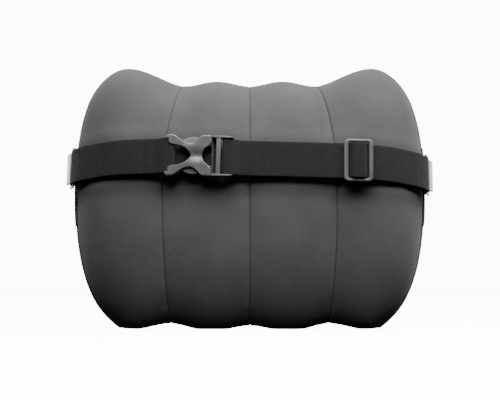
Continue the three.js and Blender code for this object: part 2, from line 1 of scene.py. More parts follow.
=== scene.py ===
"""Looks for the lumbar support cushion: cover, strap, hardware, materials and light. Metres."""

import math
from itertools import product

import bpy
import numpy as np
from mathutils import Matrix, Vector
from mathutils.bvhtree import BVHTree


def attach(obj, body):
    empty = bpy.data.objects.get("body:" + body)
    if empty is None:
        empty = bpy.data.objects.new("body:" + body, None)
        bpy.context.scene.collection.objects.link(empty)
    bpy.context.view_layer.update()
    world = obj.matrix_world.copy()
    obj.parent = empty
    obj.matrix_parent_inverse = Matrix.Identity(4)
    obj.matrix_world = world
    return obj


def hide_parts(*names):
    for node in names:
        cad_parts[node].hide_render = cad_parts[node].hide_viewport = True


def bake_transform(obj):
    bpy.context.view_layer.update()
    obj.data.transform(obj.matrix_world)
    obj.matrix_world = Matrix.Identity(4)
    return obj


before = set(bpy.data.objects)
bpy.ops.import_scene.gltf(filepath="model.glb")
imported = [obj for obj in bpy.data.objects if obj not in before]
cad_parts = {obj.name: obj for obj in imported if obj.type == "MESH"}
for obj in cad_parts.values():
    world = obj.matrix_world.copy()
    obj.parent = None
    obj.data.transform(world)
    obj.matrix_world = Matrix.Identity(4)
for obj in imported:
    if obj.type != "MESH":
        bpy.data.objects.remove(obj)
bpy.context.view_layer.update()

MM = 0.001

# ---------- driving sizes, the same as the CAD part's, in millimetres ----------
ORIGIN = (-0.2, 13.05, 0.0)
HALF_WIDTH = 190.5
MID_Z = 147.0
SEAM_Y = -12.0
BACK_DEPTH = 54.0
FRONT_DEPTH = 57.0
FRONT_WING = {"u": 122.0, "width": 50.0, "depth": 11.0}
DEPTH_POWER_X = 6.5
BACK_POWER_Y = 1.2
FRONT_POWER_Y = 2.3
FRONT_BULGE = 5.0
BULGE_REACH = 15.0
SECTION_POWER_TOP = 2.2
SECTION_POWER_BOTTOM = 2.05
TOP_HEIGHT = 126.4
BOTTOM_HEIGHT = 154.0
TOP_OVAL = (9.0, 2.84)
BOTTOM_OVAL = (6.3, 2.13)
EAR = (140.0, 38.5, 16.2)
LOBE = (129.5, 15.5, 4.0)
VALLEY_WIDTH = 24.0
TOP_VALLEYS = (72.0, 7.2, 7.2)
BOTTOM_VALLEYS = (84.0, 8.5, 6.5)
EDGE_FADE = 12.0
GROOVE_DEPTH = 0.045
GROOVE_WIDTH = 15.0
SEAM_X = 92.0
SEAM_PULL_TOP = 17.0
SEAM_PULL_BOTTOM = 8.0
ZIP_END = 115.0
RECESS_FADE = 24.0
RECESS_HALF_WIDTH = 9.0
RECESS_Z = 14.0
RECESS_PINCH = 0.14

CREST_Y = -66.6
STRAP_Z = 180.6
STRAP_TILT = 7.5
ROLL_LEFT = 0.1
ROLL_RIGHT = 1.5
BUCKLE_PIVOT_X = -60.0
LEFT_PIVOT_X = -81.5
STRAP_WIDTH = 38.0
WEBBING = 1.4
LAYER_1 = 1.2
LAYER_2 = 2.9
BEND_START_X = 111.0
BEND_RADIUS = 90.0
BEND_ANGLE = 60.0
BAR_Y = -5.5
BAR_LOOP = 2.65
FEMALE_BAR_X = -81.5
MALE_BAR_X = -25.5
GLIDE_X = 113.5
HOOK_BAR_S = 3.0
HOOK_BAR_OFF = 3.4
LOOP_REACH = 2.2
FOLD_ANGLE = 45.0
RAIL = 19.6


# ---------- camera ----------

CAMERA_TARGET = Vector((0.0, 0.0, 0.1405))
CAMERA_DISTANCE = 1.005
CAMERA_ELEVATION = -5.0
CAMERA_LENS = 65.5


def placed(name, data):
    """A new object in the scene."""
    thing = bpy.data.objects.new(name, data)
    bpy.context.scene.collection.objects.link(thing)
    return thing


def aim(thing, place, target):
    """Puts a camera or a lamp in its place, looking at the target."""
    thing.location = place
    thing.rotation_euler = (target - Vector(place)).to_track_quat("-Z", "Y").to_euler()


def add_camera():
    """Looks slightly up at the strap side, as the object was seen."""
    data = bpy.data.cameras.new("camera")
    data.lens = CAMERA_LENS
    data.sensor_width = 36.0
    camera = placed("camera", data)
    elevation = math.radians(CAMERA_ELEVATION)
    away = Vector((0.0, -math.cos(elevation), math.sin(elevation)))
    aim(camera, CAMERA_TARGET + CAMERA_DISTANCE * away, CAMERA_TARGET)
    bpy.context.scene.camera = camera


add_camera()


# ---------- small helpers ----------

def new_object(name, vertices, faces, material, sharp=None):
    """A mesh object; with an angle given it's shaded smooth except at edges sharper than that."""
    mesh = bpy.data.meshes.new(name)
    mesh.from_pydata([tuple(v) for v in vertices], [], [tuple(f) for f in faces])
    mesh.validate()
    mesh.update()
    if sharp:
        mesh.shade_smooth()
        mesh.set_sharp_from_angle(angle=math.radians(sharp))
    mesh.materials.append(material)
    return placed(name, mesh)


def evaluated(thing):
    return thing.evaluated_get(bpy.context.evaluated_depsgraph_get())


def bell(x, centre, width):
    return np.exp(-(((x - centre) / width) ** 2))


def smoothstep(x, low, high):
    t = np.clip((x - low) / (high - low), 0.0, 1.0)
    return t * t * (3.0 - 2.0 * t)


def grid_faces(rows, columns, closed_rows=False, flip=False):
    faces = []
    for i in range(rows if closed_rows else rows - 1):
        for j in range(columns - 1):
            a, d = i * columns + j, (i + 1) % rows * columns + j
            faces.append((a, d, d + 1, a + 1) if flip else (a, a + 1, d + 1, d))
    return faces


def running_length(points):
    """How far along a line of points each one lies."""
    return np.concatenate([[0.0], np.cumsum(np.linalg.norm(np.diff(points, axis=0), axis=1))])


def resampled(values, at, wanted):
    """Values known at some places of their first axis, found at the wanted places between them."""
    flat = values.reshape(len(values), -1)
    found = np.stack([np.interp(wanted, at, column) for column in flat.T], axis=1)
    return found.reshape(len(wanted), *values.shape[1:])


# ---------- cushion form ----------

def oval(u, powers):
    inner, outer = powers
    return np.maximum(0.0, 1.0 - (u / HALF_WIDTH) ** inner) ** (1.0 / outer)


def valleys(u, sizes):
    centre, outer, middle = sizes
    return outer * bell(u, centre, VALLEY_WIDTH) + middle * bell(u, 0.0, VALLEY_WIDTH)


def edge_fade(u):
    return np.minimum(1.0, (HALF_WIDTH - u) / EDGE_FADE)


def top_outline(x):
    u = np.abs(x)
    extra = EAR[2] * bell(u, EAR[0], EAR[1]) - valleys(u, TOP_VALLEYS)
    return MID_Z + TOP_HEIGHT * oval(u, TOP_OVAL) + edge_fade(u) * extra


def bottom_outline(x):
    u = np.abs(x)
    extra = valleys(u, BOTTOM_VALLEYS) - LOBE[2] * bell(u, LOBE[0], LOBE[1])
    return MID_Z - BOTTOM_HEIGHT * oval(u, BOTTOM_OVAL) + edge_fade(u) * extra


def seam_x(sin_phi):
    pull = np.where(sin_phi > 0, SEAM_PULL_TOP, SEAM_PULL_BOTTOM)
    return SEAM_X - pull * sin_phi ** 2


def outer_seam_gap(x, sin_phi):
    return np.abs(np.abs(x) - seam_x(sin_phi))


def seam_gap(x, sin_phi):
    """How far each place is from the nearest of the three seams."""
    return np.minimum(outer_seam_gap(x, sin_phi), np.abs(x))


def seam_columns(x, phi):
    """The columns of a sheet that lie on its seams."""
    outer = [i for i in range(x.shape[1]) if outer_seam_gap(x[0, i], np.sin(phi[0])) < 0.01]
    return outer + [x.shape[1] // 2]


def body_depth(x, side):
    u = np.abs(x)
    if side < 0:
        return BACK_DEPTH * oval(u, (DEPTH_POWER_X, BACK_POWER_Y))
    full = FRONT_DEPTH + FRONT_WING["depth"] * bell(u, FRONT_WING["u"], FRONT_WING["width"])
    return full * oval(u, (DEPTH_POWER_X, FRONT_POWER_Y))


def surface(x, phi, side):
    """Points of the cover, in the part's own millimetres; phi is in radians, x and phi alike in shape."""
    s = np.sin(phi)
    c = np.sqrt(np.maximum(0.0, 1.0 - s * s))
    power = np.where(s > 0, SECTION_POWER_TOP, SECTION_POWER_BOTTOM)
    up = np.sign(s) * np.abs(s) ** (2.0 / power)
    out = c ** (2.0 / power)
    top, bottom = top_outline(x), bottom_outline(x)
    depth = body_depth(x, side) * (1.0 - GROOVE_DEPTH * np.exp(-seam_gap(x, s) / GROOVE_WIDTH))
    recess = (1.0 - smoothstep(np.abs(x), ZIP_END, ZIP_END + RECESS_FADE)) * (s < 0)
    edge = recess * RECESS_HALF_WIDTH
    lift = recess * np.exp(-((out / RECESS_PINCH) ** 2)) * (RECESS_Z - bottom)
    y = edge + np.maximum(0.0, depth - edge) * out
    z = (top + bottom) / 2.0 + (top - bottom) / 2.0 * up
    px = x + 0.0 * phi
    if side > 0:
        away = np.hypot(px, z - MID_Z) + 1e-9
        amount = (1.0 - recess) * FRONT_BULGE * (y / BULGE_REACH) * np.exp(1.0 - y / BULGE_REACH)
        px = px + amount * px / away
        z = z + amount * (z - MID_Z) / away
    return np.stack([px, SEAM_Y + side * y, np.maximum(z + lift, 0.0)], axis=-1)


FINE_STEPS = (0.0, 0.4, 0.9, 1.6, 2.6, 3.9, 5.4)
PITCH = 2.6
CURVE_SAMPLES = 3001


def even_steps(curve, start, stop, fine_stop):
    """Parameters from start to stop, about PITCH apart along the curve, with fine steps at seams."""
    t = np.linspace(start, stop, CURVE_SAMPLES)
    length = running_length(curve(t))
    fine = np.array(FINE_STEPS)
    tail = length[-1] - fine[::-1] if fine_stop else length[-1:]
    count = max(2, round((tail[0] - fine[-1]) / PITCH))
    middle = np.linspace(fine[-1], tail[0], count + 1)[1:-1]
    return np.interp(np.concatenate([fine, middle, tail]), length, t)


WING_PHI = math.radians(50.0)  # where the wings' columns are evenly spaced
SIDE_MARGIN = 0.02


def column_positions(phi):
    """x of every column at each phi of a row array, from one side to the other."""
    wing = even_steps(lambda t: surface(t, WING_PHI + 0.0 * t, 1), SEAM_X, HALF_WIDTH - SIDE_MARGIN, False)
    share = (wing - SEAM_X) / (HALF_WIDTH - SEAM_X)
    share[-1] = 1.0
    fine = np.array(FINE_STEPS) / SEAM_X
    inner = np.linspace(fine[-1], 1.0 - fine[-1], round(SEAM_X / PITCH))[1:-1]
    middle = np.concatenate([fine, inner, (1.0 - fine)[::-1]])
    seam = seam_x(np.sin(phi))[:, None]
    right = np.concatenate([seam * middle[None, :], seam + (HALF_WIDTH - seam) * share[None, 1:]], axis=1)
    return np.concatenate([-right[:, :0:-1], right], axis=1)


GROOVE_AT_SEAM = (0.95, 0.65)  # depth, width
SHOULDER = (0.12, 6.0, 4.0)  # height, distance from the seam, width
SEAM_DRAW = (0.16, 5.0)  # depth, reach
GATHERS = 0.12
GATHER_BAND = (2.5, 3.5)  # distance from the seam, width
GATHER_LENGTHS = (2.3, 7.1, 4.1)


def seam_shape(distance):
    """How far the cover sinks at a seam and stands proud beside it."""
    depth, width = GROOVE_AT_SEAM
    draw, reach = SEAM_DRAW
    height, *shoulder = SHOULDER
    sunk = depth * bell(distance, 0.0, width) + draw * np.exp(-distance / reach)
    return height * bell(distance, *shoulder) - sunk


def ripple(along, distance, seed):
    """Small uneven gathers beside a seam."""
    first, second, third = (np.sin(along / size + (k + 1) * seed) for k, size in enumerate(GATHER_LENGTHS))
    return GATHERS * (first * second + 0.5 * third) * bell(distance, *GATHER_BAND)


def side_sheet(side):
    """One side of the bare cover as a grid of points, with each point's x and each row's phi."""
    middle = 0.5 * SEAM_X
    phi = even_steps(lambda t: surface(middle + 0.0 * t, t, side), -math.pi / 2, math.pi / 2, True)
    x = column_positions(phi)
    return surface(x, phi[:, None] + 0.0 * x, side), x, phi


def outward_normals(points):
    normal = np.cross(np.gradient(points, axis=1), np.gradient(points, axis=0))
    size = np.linalg.norm(normal, axis=-1, keepdims=True)
    normal = normal / np.maximum(size, 1e-9)
    facing = np.sum(normal * (points - np.array([0.0, SEAM_Y, MID_Z])), axis=-1, keepdims=True)
    return normal * np.where(facing < 0.0, -1.0, 1.0)


def sewn(points, x, phi, side):
    """The sheet with its seams pulled in and small gathers beside them."""
    to_outer = outer_seam_gap(x, np.sin(phi)[:, None])
    to_edge = np.minimum(*(np.linalg.norm(points - points[k], axis=-1) for k in (0, -1)))
    height = points[..., 2]
    offset = np.zeros_like(x)
    for seed, distance, along in ((0.3, to_outer, height), (1.7, np.abs(x), height), (2.9, to_edge, x)):
        offset = offset + seam_shape(distance) + ripple(along, distance, seed + side)
    return points + offset[..., None] * outward_normals(points)


# ---------- the cover swells under its filling ----------

CLOTH_PITCH = 6.0
CLOTH_FRAMES = 20
PRESSURE = 4.0
SWELL_CAP = 1.8
SMOOTHING_ROUNDS = 6
HELD_SIDE = 176.0  # past this |x| the cover is held by the patches and the side seam
HELD_BOTTOM = 6.0
HELD_SEAM_REACH = 5.0
HELD_EDGE_PHI = 0.09
HELD_SIDE_FADE = 14.0
HELD_STRAP = (20.0, 27.0)  # held to the first, free from the second, on both sides of the strap's middle


def spaced(length, keep):
    """Indices about CLOTH_PITCH apart along a length, the kept ones among them."""
    chosen = list(keep)
    for i, at in enumerate(length):
        if all(abs(at - length[j]) >= 0.75 * CLOTH_PITCH for j in chosen):
            chosen.append(i)
    return np.array(sorted(chosen))


def held_weights(loop, x, phi):
    """1 where the cover is sewn, strapped, zipped or resting, falling to 0 between those places."""
    height = loop[..., 2]
    strap = (1.0 - smoothstep(np.abs(height - STRAP_Z), *HELD_STRAP)) * (loop[..., 1] < SEAM_Y)
    edge = bell(np.pi / 2 - np.abs(phi), 0.0, HELD_EDGE_PHI)[:, None] + 0.0 * x
    side = smoothstep(np.abs(x), HELD_SIDE - HELD_SIDE_FADE, HELD_SIDE)
    bottom = 1.0 - smoothstep(height, HELD_BOTTOM, 3.0 * HELD_BOTTOM)
    seam = bell(seam_gap(x, np.sin(phi)[:, None]), 0.0, HELD_SEAM_REACH)
    return np.maximum.reduce([strap, edge, side, bottom, seam])


def swell(loop, x, phi):
    """Swells a coarse copy of the cover in a cloth simulation, and moves the fine one along with it."""
    row_length = running_length(loop[:, loop.shape[1] * 5 // 8])
    column_length = running_length(loop[loop.shape[0] // 4])
    columns = spaced(column_length[1:-1], [i - 1 for i in seam_columns(x, phi)]) + 1
    rows = spaced(row_length, [0, len(phi) // 2 - 1, len(phi) // 2, len(phi) - 1])
    start = loop[np.ix_(rows, columns)]
    held = held_weights(loop, x, phi)[np.ix_(rows, columns)]
    faces = grid_faces(len(rows), len(columns), closed_rows=True)
    piece = new_object("cloth", start.reshape(-1, 3) * MM, faces, KNIT)
    group = piece.vertex_groups.new(name="held")
    for i, weight in enumerate(held.reshape(-1)):
        group.add([i], float(weight), "REPLACE")
    settings = piece.modifiers.new("cloth", "CLOTH").settings
    settings.use_pressure = True
    settings.uniform_pressure_force = PRESSURE
    settings.vertex_group_mass = "held"
    settings.effector_weights.gravity = 0.0
    for frame_number in range(1, CLOTH_FRAMES + 1):
        bpy.context.scene.frame_set(frame_number)
    moved = np.array([v.co[:] for v in evaluated(piece).data.vertices]).reshape(start.shape) / MM - start
    bpy.data.objects.remove(piece)
    bpy.context.scene.frame_set(1)
    size = np.linalg.norm(moved, axis=-1, keepdims=True)
    moved = moved * np.minimum(1.0, SWELL_CAP / np.maximum(size, 1e-9)) * (1.0 - held[..., None])
    wide = resampled(moved.transpose(1, 0, 2), column_length[columns], column_length).transpose(1, 0, 2)
    fine = resampled(wide, row_length[rows], row_length)
    for _ in range(SMOOTHING_ROUNDS):
        fine[1:-1] = 0.25 * fine[:-2] + 0.5 * fine[1:-1] + 0.25 * fine[2:]
        fine[:, 1:-1] = 0.25 * fine[:, :-2] + 0.5 * fine[:, 1:-1] + 0.25 * fine[:, 2:]
    return loop + fine


def strap_matrix(pivot_x, pivot_z, roll):
    """From a strap half's own frame, x along it, -y out and z across, to the part's millimetres."""
    place = Matrix.Translation((pivot_x, CREST_Y, pivot_z))
    turn = Matrix.Rotation(math.radians(-STRAP_TILT), 4, "X") @ Matrix.Rotation(math.radians(roll), 4, "Y")
    return place @ turn @ Matrix.Translation((-pivot_x, 0.0, 0.0))


DROP = (BUCKLE_PIVOT_X - LEFT_PIVOT_X) * math.sin(math.radians(ROLL_RIGHT))
RIGHT_FRAME = strap_matrix(BUCKLE_PIVOT_X, STRAP_Z, ROLL_RIGHT)
LEFT_FRAME = strap_matrix(LEFT_PIVOT_X, STRAP_Z + DROP, ROLL_LEFT)
TO_WORLD = Matrix.Scale(MM, 4) @ Matrix.Translation(ORIGIN)


def transformed(matrix, points):
    """An array of points taken through a 4 x 4 matrix."""
    m = np.array(matrix)
    return points @ m[:3, :3].T + m[:3, 3]


STRAP_CLEARANCE = 0.35
STRAP_MARGIN = 0.4
BUCKLE_FADES = ((-94.0, -88.0), (-16.0, -10.0))  # where the buckle begins and ends along the strap
GLIDE_REACH = 19.0
HARD_MARGIN = 2.6  # how much wider the dent is under the buckle and the slider
DENT_FADE = (4.0, 8.0)  # above the strap, below it
SWELLING = (0.8, 1.6)  # above the strap, below it
SWELLING_PLACE = 7.0
SWELLING_WIDTH = 8.0
SWELLING_DEPTH = 12.0
NEAR_STRAP = 60.0


def press_under_strap(points):
    """Pushes the cover in under the strap and lets it swell along both edges of the webbing."""
    right = points[..., 0] > LEFT_PIVOT_X
    for matrix, keep in ((RIGHT_FRAME, right), (LEFT_FRAME, ~right)):
        local = transformed(matrix.inverted(), points)
        wide, deep, across = local[..., 0], local[..., 1], np.abs(local[..., 2])
        above = local[..., 2] > 0
        lean = np.clip((np.abs(wide) - BEND_START_X) / BEND_RADIUS, 0.0, math.sin(math.radians(BEND_ANGLE)))
        upright = np.sqrt(1.0 - lean ** 2)
        base = BEND_RADIUS * (1.0 - upright)
        proud = (base - deep) * upright
        hard = smoothstep(wide, *BUCKLE_FADES[0]) * (1.0 - smoothstep(wide, *BUCKLE_FADES[1]))
        hard = np.maximum(hard, bell(wide, GLIDE_X, GLIDE_REACH))
        half = STRAP_WIDTH / 2.0 + STRAP_MARGIN + HARD_MARGIN * hard
        under = 1.0 - smoothstep(across, half, half + np.where(above, *DENT_FADE))
        lift = np.where(above, *SWELLING) * bell(across, half + SWELLING_PLACE, SWELLING_WIDTH)
        push = lift * (deep < base + SWELLING_DEPTH) - np.maximum(0.0, proud + STRAP_CLEARANCE) * under
        out = np.stack([np.sign(wide) * lean, -upright, 0.0 * lean], axis=-1)
        near = keep & (deep < NEAR_STRAP) & (across < NEAR_STRAP)
        points = np.where(near[..., None], transformed(matrix, local + push[..., None] * out), points)
    return points


def build_cover():
    """The whole knit cover, filled, and the grid of points that it is made of."""
    back, x, back_phi = side_sheet(-1)
    front, front_x, front_phi = side_sheet(1)
    loop = np.concatenate([back, front[::-1]], axis=0)
    loop = swell(loop, np.concatenate([x, front_x[::-1]]), np.concatenate([back_phi, front_phi[::-1]]))
    back = press_under_strap(sewn(loop[:len(back)], x, back_phi, -1))
    front = sewn(loop[len(back):][::-1], front_x, front_phi, 1)
    loop = np.concatenate([back, front[::-1]], axis=0)
    loop[..., 2] = np.maximum(loop[..., 2], 0.0)
    rows, columns = loop.shape[:2]
    points = transformed(TO_WORLD, loop.reshape(-1, 3))
    cover = new_object("knit_cover", points, grid_faces(rows, columns, closed_rows=True), KNIT, sharp=180.0)
    across = running_length(loop[rows // 4]) * MM
    down = running_length(np.concatenate([loop[:, columns * 5 // 8], loop[:1, columns * 5 // 8]])) * MM
    layer = cover.data.uv_layers.new(name="knit")
    for polygon in cover.data.polygons:
        closing = max(polygon.vertices) >= (rows - 1) * columns
        for loop_index in polygon.loop_indices:
            row, column = divmod(cover.data.loops[loop_index].vertex_index, columns)
            layer.data[loop_index].uv = (across[column], down[rows if closing and row == 0 else row])
    return cover, back, front, x, back_phi, front_phi


# ---------- materials ----------

class Surface:
    """A material made of procedural nodes."""

    def __init__(self, name, roughness, metallic=0.0, sheen=0.0, specular=0.5):
        self.material = bpy.data.materials.new(name)
        self.material.use_nodes = True
        self.tree = self.material.node_tree
        self.inputs = self.tree.nodes["Principled BSDF"].inputs
        for key, value in (("Roughness", roughness), ("Metallic", metallic), ("Sheen Weight", sheen),
                           ("Specular IOR Level", specular)):
            self.inputs[key].default_value = value
        self.place = self.node("TexCoord")["Object"]

    def feed(self, socket, value):
        """Links another node's output to an input, or sets it to a plain value."""
        if isinstance(value, bpy.types.NodeSocket):
            self.tree.links.new(value, socket)
        else:
            socket.default_value = value

    def node(self, kind, inputs=None, **settings):
        """Adds a node with its inputs fed by name or number, and returns its outputs."""
        made = self.tree.nodes.new("ShaderNode" + kind)
        for key, value in settings.items():
            setattr(made, key, value)
        for key, value in (inputs or {}).items():
            self.feed(made.inputs[key], value)
        return made.outputs

    def noise(self, size, detail=2.0, vector=None):
        """Cloudy values with features about size metres across."""
        inputs = {"Scale": 1.0 / size, "Detail": detail, "Vector": vector or self.place}
        return self.node("TexNoise", inputs)["Fac"]

    def stripes(self, pitch, turn=0.0, vector=None, distortion=0.0, lean=0.0):
        """Soft stripes pitch metres apart, across X turned and leant by angles in degrees."""
        rotation = (0.0, math.radians(lean), math.radians(turn))
        turned = self.node("Mapping", {"Rotation": rotation, "Vector": vector or self.place})["Vector"]
        inputs = {"Scale": WAVE_PERIOD / pitch, "Distortion": distortion, "Vector": turned}
        return self.node("TexWave", inputs)["Fac"]

    def math(self, operation, first, second):
        return self.node("Math", {0: first, 1: second}, operation=operation)["Value"]

    def mixed(self, *parts):
        """The sum of (value, weight) parts."""
        total = 0.0
        for value, weight in parts:
            total = self.math("ADD", total, self.math("MULTIPLY", value, weight))
        return total

    def color(self, factor, stops):
        """The base colour runs through (position, colour) stops."""
        made = self.tree.nodes.new("ShaderNodeValToRGB")
        while len(made.color_ramp.elements) < len(stops):
            made.color_ramp.elements.new(0.5)
        for element, (position, color) in zip(made.color_ramp.elements, stops):
            element.position = position
            element.color = (*color, 1.0)
        self.feed(made.inputs["Fac"], factor)
        self.feed(self.inputs["Base Color"], made.outputs["Color"])

    def rough(self, factor, low, high):
        inputs = {"To Min": low, "To Max": high, "Value": factor}
        self.feed(self.inputs["Roughness"], self.node("MapRange", inputs)["Result"])

    def bump(self, height, strength, distance):
        inputs = {"Strength": strength, "Distance": distance, "Height": height}
        self.feed(self.inputs["Normal"], self.node("Bump", inputs)["Normal"])


WAVE_PERIOD = math.pi / 10.0  # a wave texture's period at scale 1


def grey(value, blue=1.04):
    return (value, value * (1.0 + (blue - 1.0) / 2.0), value * blue)


RIB_PITCH = 0.0012
COURSE_PITCH = 0.0011


def knit_surface():
    made = Surface("cover_knit", roughness=0.92, sheen=0.12, specular=0.2)
    cloth = made.node("UVMap", uv_map="knit")["UV"]
    ribs = made.stripes(RIB_PITCH, vector=cloth, distortion=1.0)
    down = made.node("SeparateXYZ", {"Vector": cloth})["Y"]
    loops = made.math("SINE", made.math("MULTIPLY", down, 2.0 * math.pi / COURSE_PITCH), 0.0)
    fuzz = made.noise(0.0009, detail=3.0)
    cloud = made.noise(0.045, detail=3.0)
    tone = made.mixed((cloud, 0.35), (fuzz, 0.45), (ribs, 0.16))
    made.color(tone, ((0.25, grey(0.040)), (0.5, grey(0.060)), (0.78, grey(0.088))))
    made.bump(made.mixed((ribs, 1.0), (loops, 0.18), (fuzz, 1.3)), 0.35, 0.00025)
    return made.material


def webbing_surface():
    made = Surface("strap_webbing", roughness=0.88, sheen=0.05, specular=0.2)
    weave = made.node("UVMap", uv_map="weave")["UV"]
    twill = made.stripes(0.0017, turn=52.0, vector=weave, distortion=0.8)
    cross = made.stripes(0.0012, turn=-38.0, vector=weave, distortion=0.6)
    picks = made.stripes(0.0011, vector=weave)
    cells = made.math("MULTIPLY", twill, cross)
    speck = made.noise(0.0011, detail=1.0, vector=weave)
    tone = made.mixed((cells, 0.55), (speck, 0.6))
    made.color(tone, ((0.25, grey(0.0025)), (0.55, grey(0.0065)), (0.8, grey(0.026)), (0.95, grey(0.075))))
    made.bump(made.mixed((cells, 1.2), (picks, 0.35), (speck, 0.5)), 0.8, 0.00035)
    return made.material


def tape_surface(name, value):
    made = Surface(name, roughness=0.9, sheen=0.1, specular=0.25)
    twill = made.stripes(0.0011, turn=40.0, distortion=0.5, lean=50.0)
    fuzz = made.noise(0.0008)
    tone = made.mixed((twill, 0.5), (fuzz, 0.5))
    made.color(tone, ((0.2, grey(value * 0.6)), (0.8, grey(value * 1.5))))
    made.bump(tone, 0.5, 0.0003)
    return made.material


def hard_surface(name, value, roughness, grain, metallic=0.0, specular=0.5):
    """Moulded or coated: slight cloudiness, fine grain and rougher patches."""
    made = Surface(name, roughness=roughness, metallic=metallic, specular=specular)
    fine = made.noise(grain, detail=3.0)
    cloud = made.noise(0.012, detail=2.0)
    made.color(made.mixed((fine, 0.3), (cloud, 0.7)), ((0.3, grey(value * 0.86)), (0.7, grey(value * 1.12))))
    made.rough(cloud, roughness - 0.06, roughness + 0.08)
    made.bump(fine, 0.12, 0.00012)
    return made.material


def thread_surface():
    made = Surface("seam_thread", roughness=0.8, sheen=0.1, specular=0.3)
    twist = made.noise(0.0004)
    made.color(twist, ((0.3, grey(0.002)), (0.7, grey(0.006))))
    made.bump(twist, 0.4, 0.0002)
    return made.material


KNIT = knit_surface()
WEB = webbing_surface()
PATCH = tape_surface("patch_twill", 0.028)
TAPE = tape_surface("zip_tape_twill", 0.014)
THREAD = thread_surface()
PLASTIC = hard_surface("buckle_acetal", 0.056, 0.33, 0.0006)
# painted shade: the buckle's own acetal made eight times darker, standing for the shade inside the buckle's
# hollows and behind the plug
PAINTED_SHADE_ACETAL = hard_surface("buckle_acetal_painted_shade", 0.007, 0.65, 0.0006, specular=0.15)
COIL = hard_surface("zip_coil", 0.03, 0.45, 0.0004)
COATED = hard_surface("coated_metal", 0.065, 0.38, 0.0005, metallic=0.2)
STEEL = hard_surface("hook_steel", 0.30, 0.36, 0.0007, metallic=0.55)
ZIP_METAL = hard_surface("zip_coated_metal", 0.05, 0.4, 0.0005, metallic=0.4)


# ---------- mesh parts, in millimetres in a strap half's own frame ----------

NEARLY_STRAIGHT = math.radians(89.5)  # half the angle of a corner that isn't worth rounding


def rounded_path(corners, steps=6):
    """A polyline through (x, y, radius) corners, each corner rounded by an arc."""
    points = []
    for i, (x, y, radius) in enumerate(corners):
        here = Vector((x, y))
        if i in (0, len(corners) - 1) or radius == 0:
            points.append(here)
            continue
        before, after = ((Vector(corners[k][:2]) - here).normalized() for k in (i - 1, i + 1))
        half = math.acos(max(-1.0, min(1.0, before.dot(after)))) / 2.0
        if half > NEARLY_STRAIGHT:
            points.append(here)
            continue
        centre = here + (before + after).normalized() * (radius / math.sin(half))
        reach = radius / math.tan(half)
        start, stop = here + before * reach - centre, here + after * reach - centre
        sweep = math.atan2(start.x * stop.y - start.y * stop.x, start.dot(stop))
        points += [centre + Matrix.Rotation(sweep * k / steps, 2) @ start for k in range(steps + 1)]
    return points


def bend_point(degrees, off):
    angle = math.radians(degrees)
    radius = BEND_RADIUS + off
    return Vector((BEND_START_X + radius * math.sin(angle), BEND_RADIUS - radius * math.cos(angle)))


END_DIR = Vector((math.cos(math.radians(BEND_ANGLE)), math.sin(math.radians(BEND_ANGLE))))
END_OUT = Vector((END_DIR.y, -END_DIR.x))


def end_point(s, off):
    return bend_point(BEND_ANGLE, 0.0) + s * END_DIR + off * END_OUT


OVERLAP = 0.05  # how far sewn layers sink into each other
BEND_STEP = 2.5


def fold_off(degrees):
    """How far off the middle of the bend the webbing's outer layer lies, at an angle round it."""
    lift = float(smoothstep(degrees, FOLD_ANGLE - 12.0, BEND_ANGLE))
    return LAYER_1 + lift * (HOOK_BAR_OFF + LOOP_REACH - LAYER_1)


def strap_side_end():
    """The webbing's side end: round the bend, round the hook's bar and back to the stitches."""
    points = [bend_point(turn, fold_off(turn)) for turn in np.arange(0.0, BEND_ANGLE - 2.0, BEND_STEP)]
    points.append(end_point(0.0, HOOK_BAR_OFF + LOOP_REACH))
    for t in np.radians(range(0, 181, 15)):
        along, off = LOOP_REACH * math.sin(t), LOOP_REACH * math.cos(t)
        points.append(end_point(HOOK_BAR_S + along, HOOK_BAR_OFF + off))
    back = np.arange(BEND_ANGLE - 1.0, FOLD_ANGLE - 0.1, -BEND_STEP)
    return points + [bend_point(turn, LAYER_1 - OVERLAP) for turn in back]


def bar_loop(bar_x):
    """The webbing's half turn round a buckle bar."""
    turns = np.radians(range(180, -1, -12))
    return [Vector((bar_x - BAR_LOOP * math.sin(t), BAR_Y - BAR_LOOP * math.cos(t))) for t in turns]


PATH_STEP = 3.0


def even_path(points):
    """The same path with long straight stretches cut into steps, as an array."""
    dense = [points[0]]
    for a, b in zip(points, points[1:]):
        count = max(1, round((b - a).length / PATH_STEP))
        dense.extend(a.lerp(b, k / count) for k in range(1, count + 1))
    return np.array([tuple(p) for i, p in enumerate(dense) if i == 0 or (p - dense[i - 1]).length > 1e-5])


def skin(rings):
    """A closed skin through rings of points, as (vertices, faces)."""
    count, sides = rings.shape[:2]
    faces = []
    for i in range(count - 1):
        for k in range(sides):
            a, b = i * sides + k, i * sides + (k + 1) % sides
            faces.append((a, b, b + sides, a + sides))
    faces.append(tuple(range(sides))[::-1])
    faces.append(tuple(range((count - 1) * sides, count * sides)))
    return rings.reshape(-1, 3), faces


def joined(parts):
    """Several (vertices, faces) parts as one."""
    vertices, faces, start = [], [], 0
    for part_vertices, part_faces in parts:
        vertices.append(part_vertices)
        faces.extend(tuple(start + i for i in face) for face in part_faces)
        start += len(part_vertices)
    return np.concatenate(vertices), faces


def mirror(part):
    """A part's mirror image in x."""
    vertices, faces = part
    return vertices * np.array([-1.0, 1.0, 1.0]), [face[::-1] for face in faces]


SELVEDGE = 1.06  # how far the rounded edges stand proud of the faces


